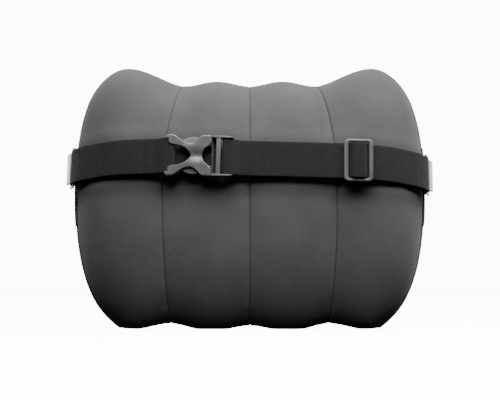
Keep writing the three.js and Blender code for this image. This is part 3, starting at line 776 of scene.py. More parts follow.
def ribbon(name, path, matrix, material, mirrored=False, width=STRAP_WIDTH, thick=WEBBING):
    """Webbing along a path: a flat section with rounded selvedges, and a weave map in metres."""
    path = even_path(path)
    half_w, half_t = width / 2.0, thick / 2.0
    turns = np.radians(range(-90, 91, 30))
    edge = [(half_w - half_t + half_t * math.cos(t), half_t * SELVEDGE * math.sin(t)) for t in turns]
    section = np.array(edge + [(half_w * share, half_t) for share in (0.8, 0.4, 0.0, -0.4, -0.8)])
    section = np.concatenate([section, -section])
    along = np.concatenate([path[1:], path[-1:]]) - np.concatenate([path[:1], path[:-1]])
    normal = along[:, ::-1] * np.array([1.0, -1.0]) / np.linalg.norm(along, axis=1, keepdims=True)
    flat = path[:, None] + normal[:, None] * section[None, :, 1:]
    across = np.broadcast_to(section[:, :1], (*flat.shape[:2], 1))
    part = skin(np.concatenate([flat, across], axis=-1))
    vertices, faces = mirror(part) if mirrored else part
    strap = new_object(name, transformed(TO_WORLD @ matrix, vertices), faces, material, sharp=50.0)
    weave = [(s * MM, (z + half_w) * MM) for s in running_length(path) for z in section[:, 0]]
    layer = strap.data.uv_layers.new(name="weave")
    for loop in strap.data.loops:
        layer.data[loop.index].uv = weave[loop.vertex_index]
    return strap


def soft_box(x0, x1, y0, y1, z0, z1, radius, segments=3):
    """A block with rounded edges, as (vertices, faces)."""
    low, high = np.array([x0, y0, z0]), np.array([x1, y1, z1])
    half, centre = (high - low) / 2.0, (low + high) / 2.0
    radius = min(radius, half.min() * 0.98)
    outer = [1.0 + k / segments for k in range(segments + 1)]
    steps = [-step for step in outer[::-1]] + outer
    vertices, faces, index = [], [], {}

    def corner(direction):
        key = tuple(round(c, 6) for c in direction)
        if key not in index:
            index[key] = len(vertices)
            inner = np.clip(direction, -1.0, 1.0)
            extra = np.array(direction) - inner
            tangent = np.tan(np.abs(extra) * math.pi / 4.0) * np.sign(extra)
            shift = tangent / max(np.linalg.norm(tangent), 1e-9)
            vertices.append(centre + inner * (half - radius) + radius * shift)
        return index[key]

    spans = range(len(steps) - 1)
    for axis, sign, a, b in product(range(3), (-2.0, 2.0), spans, spans):
        quad = []
        for i, j in ((a, b), (a + 1, b), (a + 1, b + 1), (a, b + 1)):
            direction = [sign, steps[i], steps[j]]
            quad.append(corner(direction[-axis:] + direction[:-axis] if axis else direction))
        faces.append(quad if sign > 0 else quad[::-1])
    return np.array(vertices), faces


def ring_of(centre, side, other, radius, sides):
    """Points round a centre, in the plane of two unit vectors."""
    turns = [2.0 * math.pi * k / sides for k in range(sides)]
    return [tuple(centre + (side * math.cos(t) + other * math.sin(t)) * radius) for t in turns]


DOME = ((0.7, 0.45), (0.35, 0.85))  # rise and width of the rings past a bar's end, as shares of its radius


def tube(points, radius, sides=12):
    """A round bar along 3D points, with domed ends, as (vertices, faces)."""
    points = [Vector(p) for p in points]
    first, last = (points[0] - points[1]).normalized(), (points[-1] - points[-2]).normalized()
    stations = [(points[0] + first * radius * rise, share) for rise, share in DOME]
    stations += [(p, 1.0) for p in points]
    stations += [(points[-1] + last * radius * rise, share) for rise, share in DOME[::-1]]
    rings = []
    side = (stations[1][0] - stations[0][0]).orthogonal()
    for i, (point, share) in enumerate(stations):
        along = (stations[min(i + 1, len(stations) - 1)][0] - stations[max(i - 1, 0)][0]).normalized()
        side = (side - along * side.dot(along)).normalized()
        rings.append(ring_of(point, side, along.cross(side), radius * share, sides))
    return skin(np.array(rings))


def cross_bar(x, y, reach, radius):
    """A straight round bar across the strap."""
    return tube([(x, y, z) for z in (-reach, -8.0, 8.0, reach)], radius)


def plate(loops, y0, y1, bevel, resolution=3):
    """A flat plate cut to (x, z) loops, the first one outside, with rounded edges, as (vertices, faces)."""
    curve = bpy.data.curves.new("outline", "CURVE")
    curve.dimensions = "2D"
    curve.fill_mode = "BOTH"
    for loop in loops:
        spline = curve.splines.new("POLY")
        spline.points.add(len(loop) - 1)
        spline.use_cyclic_u = True
        for point, (x, z) in zip(spline.points, loop):
            point.co = (x, z, 0.0, 1.0)
    curve.extrude = (y1 - y0) / 2.0 - bevel
    curve.bevel_depth = bevel
    curve.bevel_resolution = resolution
    curve.offset = -bevel
    holder = placed("outline", curve)
    mesh = bpy.data.meshes.new_from_object(evaluated(holder))
    bpy.data.objects.remove(holder)
    middle = (y0 + y1) / 2.0
    vertices = np.array([(v.co.x, middle - v.co.z, v.co.y) for v in mesh.vertices])
    return vertices, [tuple(p.vertices) for p in mesh.polygons]


def flipped(points):
    """(x, z) points mirrored in the strap's middle line."""
    return [(x, -z) for x, z in points]


def pair(loop, *sizes):
    """A plate on the strap's upper side, and its mirror image on the lower side."""
    return [plate([loop], *sizes), plate([flipped(loop)[::-1]], *sizes)]


def slab(outer, inner):
    """A closed sheet between two grids of points, as (vertices, faces)."""
    rows, columns = outer.shape[:2]
    start = rows * columns
    faces = grid_faces(rows, columns, flip=True)
    faces += [tuple(start + i for i in face[::-1]) for face in faces]
    index = np.arange(start).reshape(rows, columns).tolist()
    ring = [line[0] for line in index] + index[-1][1:]
    ring += [line[-1] for line in index[-2::-1]] + index[0][-2:0:-1]
    faces += [(a, b, start + b, start + a) for a, b in zip(ring, ring[1:] + ring[:1])]
    return np.concatenate([outer.reshape(-1, 3), inner.reshape(-1, 3)]), faces


STITCH_FILL = 0.66  # share of each stitch's pitch that shows
STITCH_SIDES = 6
PATCH_STITCH = (2.8, 0.24)  # pitch, radius; so are the next three
KEEPER_STITCH = (2.4, 0.24)
SEAM_STITCH = (3.0, 0.26)
STRAP_STITCH = (2.7, 0.3)


# where along the stitch, how thick and how high: shares of its half length and of its radius
STITCH_SECTIONS = ((-1.0, 0.3, -0.9), (-0.7, 0.9, 0.1), (0.0, 1.0, 0.4), (0.7, 0.9, 0.1), (1.0, 0.3, -0.9))


def stitches(line, outward, pitch, radius):
    """Short threads end to end along a line of points, dipping into the fabric, as (vertices, faces)."""
    line, outward = np.array(line, dtype=float), np.array(outward, dtype=float)
    length = running_length(line)
    at = lambda s, values: Vector(resampled(values, length, [s])[0])
    reach = 0.5 * STITCH_FILL * pitch
    threads = []
    for number in range(int(length[-1] / pitch)):
        middle = (number + 0.5) * pitch
        up = at(middle, outward).normalized()
        along = (at(middle + reach, line) - at(middle - reach, line)).normalized()
        side = along.cross(up).normalized()
        threads.append(skin(np.array([
            ring_of(at(middle + share * reach, line) + up * (rise * radius), side, side.cross(along),
                    radius * size, STITCH_SIDES) for share, size, rise in STITCH_SECTIONS])))
    return joined(threads)


MERGE_DISTANCE = 0.000004
SHARP_ANGLE = 38.0


def assemble(name, parts, matrix, material, mirrored=False):
    """One object from several (vertices, faces) parts in a strap half's frame."""
    part = joined(parts)
    vertices, faces = mirror(part) if mirrored else part
    made = new_object(name, transformed(TO_WORLD @ matrix, vertices), faces, material)
    made.modifiers.new("merge", "WELD").merge_threshold = MERGE_DISTANCE
    rough = made.data
    made.data = bpy.data.meshes.new_from_object(evaluated(made))
    made.modifiers.clear()
    bpy.data.meshes.remove(rough)
    made.data.shade_smooth()
    made.data.set_sharp_from_angle(angle=math.radians(SHARP_ANGLE))
    return made


# ---------- strap ----------

SPLIT_X = 36.0


def build_straps():
    """Both lengths of webbing; paths are (x, y, corner radius) along each half's own frame."""
    bar, sunk = -FEMALE_BAR_X, OVERLAP - LAYER_1
    inner = rounded_path([(108, sunk, 0), (90, sunk, 5), (bar + 2, BAR_Y + BAR_LOOP, 1.5)])[:-1]
    outer = rounded_path([(bar + 3, BAR_Y - BAR_LOOP, 0), (90, BAR_Y - 2, 4), (98, -LAYER_2, 8),
                          (107, -LAYER_2, 4), (112, -LAYER_1, 4), (114, -LAYER_1 - 0.01, 0)])
    path = inner + bar_loop(bar) + outer[1:-1] + strap_side_end()[1:]
    left = ribbon("strap_left_webbing", path, LEFT_FRAME, WEB, mirrored=True)
    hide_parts("strap_left")
    blend_to_hook(left)

    bar = MALE_BAR_X
    under = rounded_path([(SPLIT_X, -LAYER_1, 0), (-16, -LAYER_1, 5), (bar + 2, BAR_Y + BAR_LOOP, 1.5)])[:-1]
    over = rounded_path([(bar + 3, BAR_Y - BAR_LOOP, 0), (-18, BAR_Y - 2, 4), (-9, -LAYER_2, 8),
                         (SPLIT_X, -LAYER_2, 0)])
    loop = ribbon("strap_right_buckle_loop", under + bar_loop(bar) + over[1:], RIGHT_FRAME, WEB)
    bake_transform(loop)

    slide = rounded_path([(SPLIT_X, -LAYER_2, 0), (GLIDE_X - 9, -LAYER_2, 3), (GLIDE_X - 6.4, -8.9, 2.2),
                          (GLIDE_X + 6.4, -8.9, 2.2), (GLIDE_X + 9.0, -LAYER_2 + 0.1, 2),
                          (GLIDE_X + 12, -LAYER_2 + 0.15, 0)])
    slide = ribbon("strap_right_slide", slide, RIGHT_FRAME, WEB)
    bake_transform(slide)

    wrap = rounded_path([(GLIDE_X - 3, -7.1, 0), (GLIDE_X + 4, -7.1, 1.8), (GLIDE_X + 4, -3.2, 1.8),
                         (GLIDE_X - 4.5, -3.2, 0)])
    wrap = ribbon("strap_right_wrap", wrap, RIGHT_FRAME, WEB, width=STRAP_WIDTH - 0.4, thick=1.0)
    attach(wrap, "glide")

    side = [Vector((SPLIT_X, -LAYER_1))] + strap_side_end()
    side = ribbon("strap_right_webbing", side, RIGHT_FRAME, WEB)
    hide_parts("strap_right")
    blend_to_hook(side)


def blend_to_hook(strap):
    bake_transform(strap)


# ---------- buckle, slider, hooks and rings ----------

def smooth_line(points, count):
    """A smooth line through a few (x, z) points, evenly spaced along its length."""
    p = np.array(points)
    p = np.concatenate([[2.0 * p[0] - p[1]], p, [2.0 * p[-1] - p[-2]]])
    t = np.arange(16.0)[:, None] / 16.0
    line = []
    for a, b, c, d in zip(p, p[1:], p[2:], p[3:]):
        line.extend(0.5 * (2.0 * b + (c - a) * t + (2.0 * a - 5.0 * b + 4.0 * c - d) * t * t
                           + (3.0 * b - a - 3.0 * c + d) * t ** 3))
    line = np.array(line + [p[-2]])
    length = running_length(line)
    return resampled(line, length, np.linspace(0.0, length[-1], count))


ARM_TOP = [(-85.5, 20.6), (-83.0, 21.8), (-79.0, 21.4), (-73.0, 17.2), (-66.0, 13.6), (-59.0, 13.9),
           (-54.0, 17.8), (-50.0, 21.4), (-45.0, 22.0), (-40.2, 22.0)]
ARM_LEFT = [(-85.5, 20.6), (-85.2, 13.4), (-82.0, 11.6), (-73.0, 9.8), (-66.0, 6.0), (-61.8, 0.0)]
ARM_RIGHT = [(-40.2, 22.0), (-40.2, 14.4), (-43.0, 10.6), (-47.5, 6.6), (-49.8, 0.0)]
FACE_Y = -10.6  # the buckle's front, as far off the cushion
FACE_THICKNESS = 1.5
FACE_EDGE = 1.1


WAIST = (1.5, (-55.6, 8.5), (0.0, 5.2))  # depth, then middle and reach in x and in z
END_FALL = (1.3, 72.0, 86.0)  # depth, start, stop
TOP_DIP = (0.5, (-63.0, 7.0), (9.0, 14.0))  # depth, middle and reach in x, start and stop in z
FACE_STEPS = 49
EDGE_STEPS = 400


def socket_face():
    """The X-shaped front plate: a patch between four curved edges, dished at its waist."""
    even = np.linspace(0.0, 1.0, FACE_STEPS)
    share = 0.35 * even + 0.65 * (0.5 - 0.5 * np.cos(math.pi * even))
    edges = [smooth_line(points, EDGE_STEPS) for points in
             (ARM_TOP, flipped(ARM_LEFT) + ARM_LEFT[-2::-1], flipped(ARM_RIGHT) + ARM_RIGHT[-2::-1])]
    top, left, right = (resampled(edge, np.arange(EDGE_STEPS), share * (EDGE_STEPS - 1)) for edge in edges)
    bottom = top * np.array([1.0, -1.0])
    u, v = share[:, None, None], share[None, :, None]
    corners = (1 - u) * ((1 - v) * bottom[0] + v * top[0]) + u * ((1 - v) * bottom[-1] + v * top[-1])
    flat = (1 - v) * bottom[:, None] + v * top[:, None] + (1 - u) * left[None] + u * right[None] - corners
    rim = np.concatenate([top, bottom, left, right])
    gap = np.min(np.linalg.norm(flat[:, :, None, :] - rim[None, None], axis=-1), axis=-1)
    x, z = flat[..., 0], flat[..., 1]
    near = np.clip(gap / FACE_EDGE, 0.0, 1.0)
    rounding = FACE_EDGE * (1.0 - np.sqrt(1.0 - (1.0 - near) ** 2 + 1e-9))
    waist = WAIST[0] * bell(x, *WAIST[1]) * bell(z, *WAIST[2])
    fall = END_FALL[0] * smoothstep(-x, *END_FALL[1:])
    fall = fall + TOP_DIP[0] * bell(x, *TOP_DIP[1]) * smoothstep(np.abs(z), *TOP_DIP[2])
    front = FACE_Y + rounding + waist + fall * 0.6
    back = np.maximum(front + 0.4, FACE_Y + FACE_THICKNESS + waist * 0.8)
    return slab(np.stack([x, front, z], axis=-1), np.stack([x, back, z], axis=-1))


SOCKET_FOOT = [(-75.8, 17.8), (-75.8, 19.8), (-80.0, 22.2), (-86.5, 22.2), (-88.6, 20.0), (-88.0, 17.8)]
SOCKET_WALL = [(-40.2, 15.8), (-40.2, 22.0), (-47.0, 22.0), (-50.4, 21.2), (-50.4, 15.8)]
SOCKET_BACK = -0.8
BAR_RADIUS = 1.4


def build_socket():
    outline = [tuple(q) for q in smooth_line(ARM_TOP, 60)]
    inside = [plate([outline[::-1] + flipped(outline)], -1.8, SOCKET_BACK, 0.3)]
    for edge, toward in ((ARM_LEFT, 1.1), (ARM_RIGHT, -1.1)):
        upper = [tuple(q) for q in smooth_line(edge, 80) if q[1] < 7.5]
        line = upper + flipped(upper[-2::-1])
        loop = line + [(x + toward, z) for x, z in line[::-1]]
        inside.append(plate([loop if toward > 0 else loop[::-1]], -9.0, -1.2, 0.25))
    parts = [socket_face(), cross_bar(FEMALE_BAR_X, BAR_Y, 20.0, BAR_RADIUS)]
    parts += pair(SOCKET_FOOT, -9.6, SOCKET_BACK, 0.6) + pair(SOCKET_WALL, -10.0, SOCKET_BACK, 0.6)
    socket = assemble("buckle_socket_shell", parts, RIGHT_FRAME, PLASTIC)
    # painted shade: the socket's base plate and inner walls are coloured near black for the shade in its
    # hollows
    shade_painted_socket = assemble("buckle_socket_painted_shade", inside, RIGHT_FRAME, PAINTED_SHADE_ACETAL)
    for piece in (socket, shade_painted_socket):
        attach(piece, "cushion")
    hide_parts("buckle_socket")


# blocks are given by their limits in x, y and z and their edge radius
PLUG_RAIL = [(-39.8, 19.4), (-19.0, 19.4), (-17.0, 20.2), (-21.0, 21.5), (-30.0, 21.8), (-39.8, 21.8)]
PLUG_BLOCKS = ((-35.4, -30.4, -9.7, -6.6, -20.6, 20.6, 0.9), (-39.8, -38.2, -4.6, -2.4, -20.6, 20.6, 0.5))
PLUG_FLOOR = (-39.6, -30.6, -3.0, -1.8, -20.4, 20.4, 0.5)


def build_plug():
    parts = pair(PLUG_RAIL, -10.0, -1.2, 0.55) + [soft_box(*block) for block in PLUG_BLOCKS]
    parts.append(cross_bar(MALE_BAR_X, BAR_Y, 20.2, BAR_RADIUS))
    plug = assemble("buckle_plug_frame", parts, RIGHT_FRAME, PLASTIC)
    # painted shade: the plug's back plate is coloured near black for the shade between its rails
    floor = assemble("buckle_plug_painted_shade", [soft_box(*PLUG_FLOOR)], RIGHT_FRAME, PAINTED_SHADE_ACETAL)
    for piece in (plug, floor):
        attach(piece, "plug")
    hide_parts("buckle_plug")


PRONG_OUTER = [(-40.4, 13.6), (-45.0, 14.2), (-51.4, 14.4), (-52.6, 18.4), (-58.0, 20.0), (-65.0, 19.2),
               (-71.5, 15.2), (-73.0, 12.8)]
PRONG_INNER = [(-73.0, 12.8), (-70.0, 11.8), (-62.0, 13.0), (-54.0, 12.0), (-46.0, 10.8), (-40.4, 10.4)]
PRONG_RIB = [(-68.0, 17.6), (-63.0, 19.4), (-57.0, 19.6), (-54.0, 18.0)]


def build_prongs():
    loop = [tuple(q) for q in (*smooth_line(PRONG_OUTER, 44), *smooth_line(PRONG_INNER, 30)[1:])]
    blades = pair(loop[::-1], -8.1, -2.9, 0.7)
    for name, sign, blade in (("upper", 1.0, blades[0]), ("lower", -1.0, blades[1])):
        ridge = tube([(x, BAR_Y, sign * z) for x, z in smooth_line(PRONG_RIB, 12)], 0.55, sides=8)
        prong = assemble(f"buckle_prong_{name}_arm", [blade, ridge], RIGHT_FRAME, PLASTIC)
        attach(prong, f"prong_{name}")
        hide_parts(f"buckle_prong_{name}")


def rounded_rect(x, z, radius, steps=8):
    """A rectangle of (x, z) points between two limits each way, with round corners."""
    loop = []
    for i, j, start in ((1, 1, 0), (0, 1, 90), (0, 0, 180), (1, 0, 270)):
        centre = (x[i] + radius * (1 - 2 * i), z[j] + radius * (1 - 2 * j))
        for turn in np.radians(np.linspace(start, start + 90.0, steps + 1)):
            loop.append((centre[0] + radius * math.cos(turn), centre[1] + radius * math.sin(turn)))
    return loop


GLIDE_FRAME = ((15.5, 23.0, 5.2), (10.6, RAIL, 2.0))  # outer and inner half sizes and corner radius
GLIDE_Y = (-7.3, -4.1)


def build_glide():
    outer, inner = (rounded_rect((GLIDE_X - length, GLIDE_X + length), (-width, width), radius)
                    for length, width, radius in GLIDE_FRAME)
    parts = [plate([outer, inner[::-1]], *GLIDE_Y, 1.25, resolution=5)]
    parts.append(soft_box(GLIDE_X - 2.0, GLIDE_X + 2.0, -6.0, -4.2, -20.5, 20.5, 0.8))
    glide = assemble("tri_glide_frame", parts, RIGHT_FRAME, COATED)
    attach(glide, "glide")
    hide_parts("tri_glide")


def at_strap_end(part):
    """Moves a part made in (along, -off, across) directions to the strap's end."""
    vertices, faces = part
    turn = np.array(Matrix.Rotation(math.radians(BEND_ANGLE), 3, "Z"))
    start = bend_point(BEND_ANGLE, 0.0)
    return vertices @ turn.T + np.array([start.x, start.y, 0.0]), faces


RING_WIRE = 1.4
RING_BACK = end_point(14.6, 1.8)
RING_FRONT = Vector((199.4, 69.6))


def ring_path():
    """A rectangle of wire with round corners, from the middle of its front bar round to it again."""
    reach = (RING_FRONT - RING_BACK).length
    loop = rounded_rect((0.0, reach), (-17.4, 17.4), 3.2, steps=6)
    middle = (reach, 0.0)
    loop = [middle] + loop + [middle]
    along = (RING_FRONT - RING_BACK).normalized()
    return [(RING_BACK.x + along.x * a, RING_BACK.y + along.y * a, z) for a, z in loop]


# each block's limits along, off and across the strap's end, and its edge radius
HOOK_BLOCKS = (
    (1.6, 11.0, -4.4, -2.4, -23.0, -19.8, 0.6),
    (1.6, 11.0, -4.4, -2.4, 19.8, 23.0, 0.6),
    (8.0, 11.2, -4.4, -2.4, -23.0, 23.0, 0.7),
    (6.4, 18.6, -6.2, -4.2, -17.6, 17.6, 0.8),
    (16.8, 18.6, -6.2, 0.4, -13.4, 13.4, 0.7),
)


def build_side(name, matrix, mirrored):
    bar = end_point(HOOK_BAR_S, HOOK_BAR_OFF)
    parts = [at_strap_end(soft_box(*block)) for block in HOOK_BLOCKS] + [cross_bar(bar.x, bar.y, 21.6, 1.2)]
    hook = assemble(f"side_hook_{name}_plate", parts, matrix, STEEL, mirrored)
    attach(hook, f"side_hook_{name}")
    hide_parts(f"hook_{name}")

    ring = assemble(f"ring_{name}_wire", [tube(ring_path(), RING_WIRE)], matrix, COATED, mirrored)
    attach(ring, f"side_hook_{name}")
    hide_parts(f"ring_{name}")


KEEPER_WIDTH = 28.0
KEEPER_THICKNESS = 1.0
KEEPER_END = 15.6  # how far past the ring's bar the keeper is sewn down
KEEPER_ROWS = (7.5, 13.5)  # its stitches, as far past the bar
KEEPER_REACH = (2.3, 2.2)  # how far its loop stands off the bar's middle, on the cover's side and elsewhere
RAY_START = HALF_WIDTH + 60.0


def caster(cover, matrix, sign):
    """A function that finds the cover from one side: the place at a (y, z), and its normal."""
    tree = BVHTree.FromObject(cover, bpy.context.evaluated_depsgraph_get())
    to_world = TO_WORLD @ matrix
    toward = (to_world.to_3x3() @ Vector((-sign, 0.0, 0.0))).normalized()

    def cast(y, z):
        place, normal, _, _ = tree.ray_cast(to_world @ Vector((sign * RAY_START, y, z)), toward)
        return to_world.inverted() @ place, normal

    return cast


def build_keeper(name, matrix, mirrored, cover):
    """A short webbing loop round the ring's front bar, both ends laid and sewn on the side patch."""
    sign = -1.0 if mirrored else 1.0
    on_cover = caster(cover, matrix, sign)

    def on_patch(y, off):
        return Vector((abs(on_cover(y, 0.0)[0].x) + PATCH_PROUD + off, y))

    x, y = RING_FRONT
    inner_off, outer_off = 0.5 * KEEPER_THICKNESS + 0.05, 1.5 * KEEPER_THICKNESS + 0.1
    stations = np.linspace(y + KEEPER_END, y + 6.0, 6)
    near, far = KEEPER_REACH
    loop = rounded_path([(x - near, y + 1.5, 0), (x - near, y - far, 1.2), (x + far, y - far, 1.4),
                         (x + far, y + 1.5, 0)])
    path = [on_patch(at, inner_off) for at in stations] + loop
    path += [on_patch(at, outer_off) for at in stations[::-1]]
    keeper = ribbon(f"ring_keeper_{name}_webbing", path, matrix, WEB, mirrored=mirrored,
                    width=KEEPER_WIDTH, thick=KEEPER_THICKNESS)
    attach(keeper, "cushion")
    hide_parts(f"ring_keeper_{name}")
    rows = []
    for past in KEEPER_ROWS:
        spot = on_patch(y + past, outer_off + 0.5 * KEEPER_THICKNESS + 0.1)
        line = [(*spot, z) for z in np.linspace(-12.0, 12.0, 5)]
        rows.append(stitches(line, [(1.0, 0.0, 0.0)] * len(line), *KEEPER_STITCH))
    thread = assemble(f"ring_keeper_{name}_stitches", rows, matrix, THREAD, mirrored)
    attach(thread, "cushion")


# ---------- side patches, zip and thread ----------

PATCH_Y = (-11.0, 18.0)
PATCH_Z = (112.0, 200.0)
PATCH_PROUD = 1.15
PATCH_EDGE = 1.2
PATCH_STITCH_INSET = 2.6
PATCH_RIM = 0.35  # how proud its edge stands
PATCH_UNDERSIDE = 0.05
STITCH_DENT = (0.18, 0.8)  # depth, width


def build_patch(name, sign, cover):
    """A flat tab sewn beside the side seam, laid on the cover wherever the cover is."""
    on_cover = caster(cover, Matrix.Identity(4), sign)
    y_steps = np.linspace(*PATCH_Y, 24)
    z_steps = np.linspace(*PATCH_Z, 56)
    outer = np.zeros((len(z_steps), len(y_steps), 3))
    inner = np.zeros_like(outer)
    for i, z in enumerate(z_steps):
        for j, y in enumerate(y_steps):
            edge = min(y - PATCH_Y[0], PATCH_Y[1] - y, z - PATCH_Z[0], PATCH_Z[1] - z)
            share = min(edge / PATCH_EDGE, 1.0)
            sunk = STITCH_DENT[0] * bell(edge, PATCH_STITCH_INSET, STITCH_DENT[1])
            place, normal = on_cover(y, z)
            rise = PATCH_RIM + (PATCH_PROUD - PATCH_RIM) * math.sqrt(1.0 - (1.0 - share) ** 2) - sunk
            outer[i, j] = place + normal * rise
            inner[i, j] = place + normal * PATCH_UNDERSIDE
    vertices, faces = slab(outer, inner)
    faces = [face[::-1] for face in faces] if sign < 0 else faces
    patch = assemble(f"side_patch_{name}_cloth", [(vertices, faces)], Matrix.Identity(4), PATCH)
    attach(patch, "cushion")
    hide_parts(f"side_patch_{name}")
    low, high = PATCH_Z[0] + PATCH_STITCH_INSET, PATCH_Z[1] - PATCH_STITCH_INSET
    near, far = PATCH_Y[0] + PATCH_STITCH_INSET, PATCH_Y[1] - PATCH_STITCH_INSET
    corners = [Vector(corner) for corner in ((near, low), (near, high), (far, high), (far, low))]
    rows = []
    for start, stop in zip(corners, corners[1:] + corners[:1]):
        spots = [on_cover(*start.lerp(stop, t)) for t in np.linspace(0.0, 1.0, 40)]
        line = [place + normal * (PATCH_PROUD - 0.1) for place, normal in spots]
        rows.append(stitches(line, [normal for _, normal in spots], *PATCH_STITCH))
    thread = assemble(f"side_patch_{name}_stitches", rows, Matrix.Identity(4), THREAD)
    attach(thread, "cushion")


ZIP_HALF_LENGTH = 112.0
TAPE_Z = (12.8, 13.6)
TAPE_Y = (2.2, 8.5)
TAPE_WAVE = (0.12, 5.3, 3.5)  # height, length, and how far from the middle it starts
TOOTH_PITCH = 1.6
TOOTH_HALF = 0.42
TOOTH_Y = (-0.5, 2.8)
TOOTH_Z = (12.1, 14.3)


def build_zip():
    """Two woven tapes, each with its coil, meeting in the middle of the recess."""
    middle = Matrix.Translation((0.0, SEAM_Y, 0.0))
    x, y = np.linspace(-ZIP_HALF_LENGTH, ZIP_HALF_LENGTH, 150), np.linspace(*TAPE_Y, 9)
    x, y = np.meshgrid(x, y, indexing="ij")
    height, length, start = TAPE_WAVE
    for name, sign, phase in (("back", -1.0, 0.25), ("front", 1.0, 0.75)):
        wave = height * np.sin(x / length + sign) * smoothstep(y, start, TAPE_Y[1])
        vertices, faces = slab(*(np.stack([x, sign * y, z + wave], axis=-1) for z in TAPE_Z))
        faces = faces if sign < 0 else [face[::-1] for face in faces]
        tape = assemble(f"zip_tape_{name}_cloth", [(vertices, faces)], middle, TAPE)
        near, far = sorted(sign * reach for reach in TOOTH_Y)
        teeth = []
        for number in range(int(2.0 * ZIP_HALF_LENGTH / TOOTH_PITCH)):
            at = -ZIP_HALF_LENGTH + (number + phase) * TOOTH_PITCH
            teeth.append(soft_box(at - TOOTH_HALF, at + TOOTH_HALF, near, far, *TOOTH_Z, 0.4, segments=1))
        coil = assemble(f"zip_coil_{name}", teeth, middle, COIL)
        for piece in (tape, coil):
            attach(piece, "cushion")
        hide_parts(f"zip_tape_{name}")


def build_seam_thread(back, front, x, back_phi, front_phi):
    """The thread that shows in the three seams of each side."""
    for name, sheet, phi in (("back", back, back_phi), ("front", front, front_phi)):
        normals = outward_normals(sheet)
        rows = []
        for column in seam_columns(x, phi):
            line, up = sheet[4:-4, column], normals[4:-4, column]
            clear = line[:, 2] > 3.0
            rows.append(stitches((line + 0.3 * up)[clear], up[clear], *SEAM_STITCH))
        thread = assemble(f"cover_{name}_seam_stitches", rows, Matrix.Identity(4), THREAD)
        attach(thread, "cushion")


def across_strap(place, out):
    """A row of stitches across the webbing at a point of its outer face."""
    reach = STRAP_WIDTH / 2.0 - 1.6
    z_steps = np.linspace(-reach, reach, 5)
    line = [(place.x + 0.1 * out.x, place.y + 0.1 * out.y, z) for z in z_steps]
    return stitches(line, [(out.x, out.y, 0.0)] * len(z_steps), *STRAP_STITCH)


BUCKLE_STITCH_X = 105.0
FOLD_STITCH_ANGLE = 45.5


def build_strap_thread():
    face = -LAYER_2 - WEBBING / 2.0
    row = across_strap(Vector((BUCKLE_STITCH_X, face)), Vector((0.0, -1.0)))
    thread = assemble("strap_left_buckle_stitches", [row], LEFT_FRAME, THREAD, mirrored=True)
    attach(thread, "cushion")
    place = bend_point(FOLD_STITCH_ANGLE, fold_off(FOLD_STITCH_ANGLE) + WEBBING / 2.0)
    turn = math.radians(FOLD_STITCH_ANGLE)
    row = across_strap(place, Vector((math.sin(turn), -math.cos(turn))))
    for name, matrix, mirrored in (("left", LEFT_FRAME, True), ("right", RIGHT_FRAME, False)):
        thread = assemble(f"strap_{name}_hook_stitches", [row], matrix, THREAD, mirrored)
        blend_to_hook(thread)


def soften(node):
    """Rounds the edges of a small metal part that comes straight from the CAD."""
    weld = node.modifiers.new("weld", "WELD")
    weld.merge_threshold = 0.00002
    edge = node.modifiers.new("edge", "BEVEL")
    edge.width = 0.0002
    edge.segments = 2
    edge.limit_method = "ANGLE"
    edge.angle_limit = math.radians(40.0)


# ---------- light, floor ----------

# name, place, size in metres and power in watts; the strips light only edges and shine
LAMPS = (
    ("key", (0.27, -0.66, 1.46), (2.0, 1.0), 112.0),
    ("back", (-0.4, 1.5, 0.9), (1.2, 1.0), 12.0),
    ("strip_left", (-1.25, 0.95, 0.3), (0.5, 1.0), 10.0),
    ("strip_right", (1.25, 0.95, 0.3), (0.5, 1.0), 10.0),
)
LAMP_TARGET = Vector((0.0, 0.0, 0.15))
WORLD_DIM = 0.024
WORLD_SEEN = 12.0  # what the camera sees behind the object
FLOOR_SEEN = 11.0
FLOOR_REACH = 6.0


def background(tree, colour, strength):
    made = tree.nodes.new("ShaderNodeBackground")
    made.inputs["Color"].default_value = (*colour, 1.0)
    made.inputs["Strength"].default_value = strength
    return made.outputs["Background"]


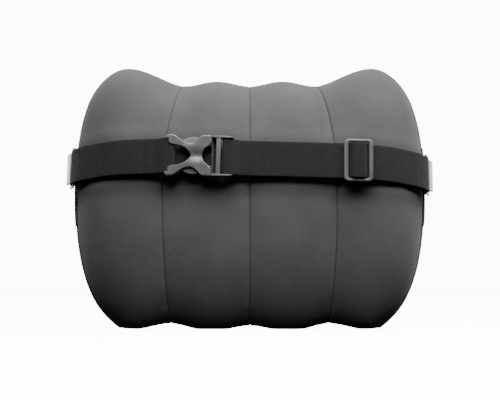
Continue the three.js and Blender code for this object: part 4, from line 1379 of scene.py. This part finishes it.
def add_studio():
    for name, place, (width, height), energy in LAMPS:
        data = bpy.data.lights.new(name, "AREA")
        data.shape = "RECTANGLE"
        data.size, data.size_y = width, height
        data.energy = energy
        lamp = placed(name, data)
        aim(lamp, place, LAMP_TARGET)
        lamp.visible_diffuse = not name.startswith("strip")
    world = bpy.data.worlds.new("studio")
    bpy.context.scene.world = world
    world.use_nodes = True
    tree = world.node_tree
    rays = tree.nodes.new("ShaderNodeLightPath")
    mix = tree.nodes.new("ShaderNodeMixShader")
    tree.links.new(rays.outputs["Is Camera Ray"], mix.inputs["Fac"])
    tree.links.new(background(tree, (0.95, 0.97, 1.0), WORLD_DIM), mix.inputs[1])
    tree.links.new(background(tree, (1.0, 1.0, 1.0), WORLD_SEEN), mix.inputs[2])
    tree.links.new(mix.outputs["Shader"], tree.nodes["World Output"].inputs["Surface"])


def add_floor():
    made = Surface("floor_paper", roughness=0.9, specular=0.1)
    made.color(made.noise(0.3), ((0.3, (0.84, 0.84, 0.84)), (0.7, (0.87, 0.87, 0.87))))
    made.inputs["Emission Color"].default_value = (1.0, 1.0, 1.0, 1.0)
    made.inputs["Emission Strength"].default_value = FLOOR_SEEN
    corners = [(x * FLOOR_REACH, y * FLOOR_REACH, 0.0) for x, y in ((-1, -1), (1, -1), (1, 1), (-1, 1))]
    floor = new_object("floor", corners, [(0, 1, 2, 3)], made.material)
    floor.visible_diffuse = False
    floor.visible_glossy = False


# ---------- everything in its place ----------

PANELS = [f"{side}_panel_{place}" for side in ("back", "front")
          for place in ("left_wing", "left_middle", "right_middle", "right_wing")]

cover, *sheets = build_cover()
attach(cover, "cushion")
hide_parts("foam_core", *PANELS)
build_seam_thread(*sheets)
build_patch("left", -1.0, cover)
build_patch("right", 1.0, cover)
build_zip()
build_straps()
build_strap_thread()
build_socket()
build_plug()
build_prongs()
build_glide()
build_side("left", LEFT_FRAME, True)
build_side("right", RIGHT_FRAME, False)
build_keeper("left", LEFT_FRAME, True, cover)
build_keeper("right", RIGHT_FRAME, False, cover)
for node_name in ("zip_stop_left", "zip_stop_right", "zip_slider", "zip_pull"):
    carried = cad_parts[node_name]
    carried.data.materials.clear()
    carried.data.materials.append(ZIP_METAL)
    soften(carried)
add_studio()
add_floor()
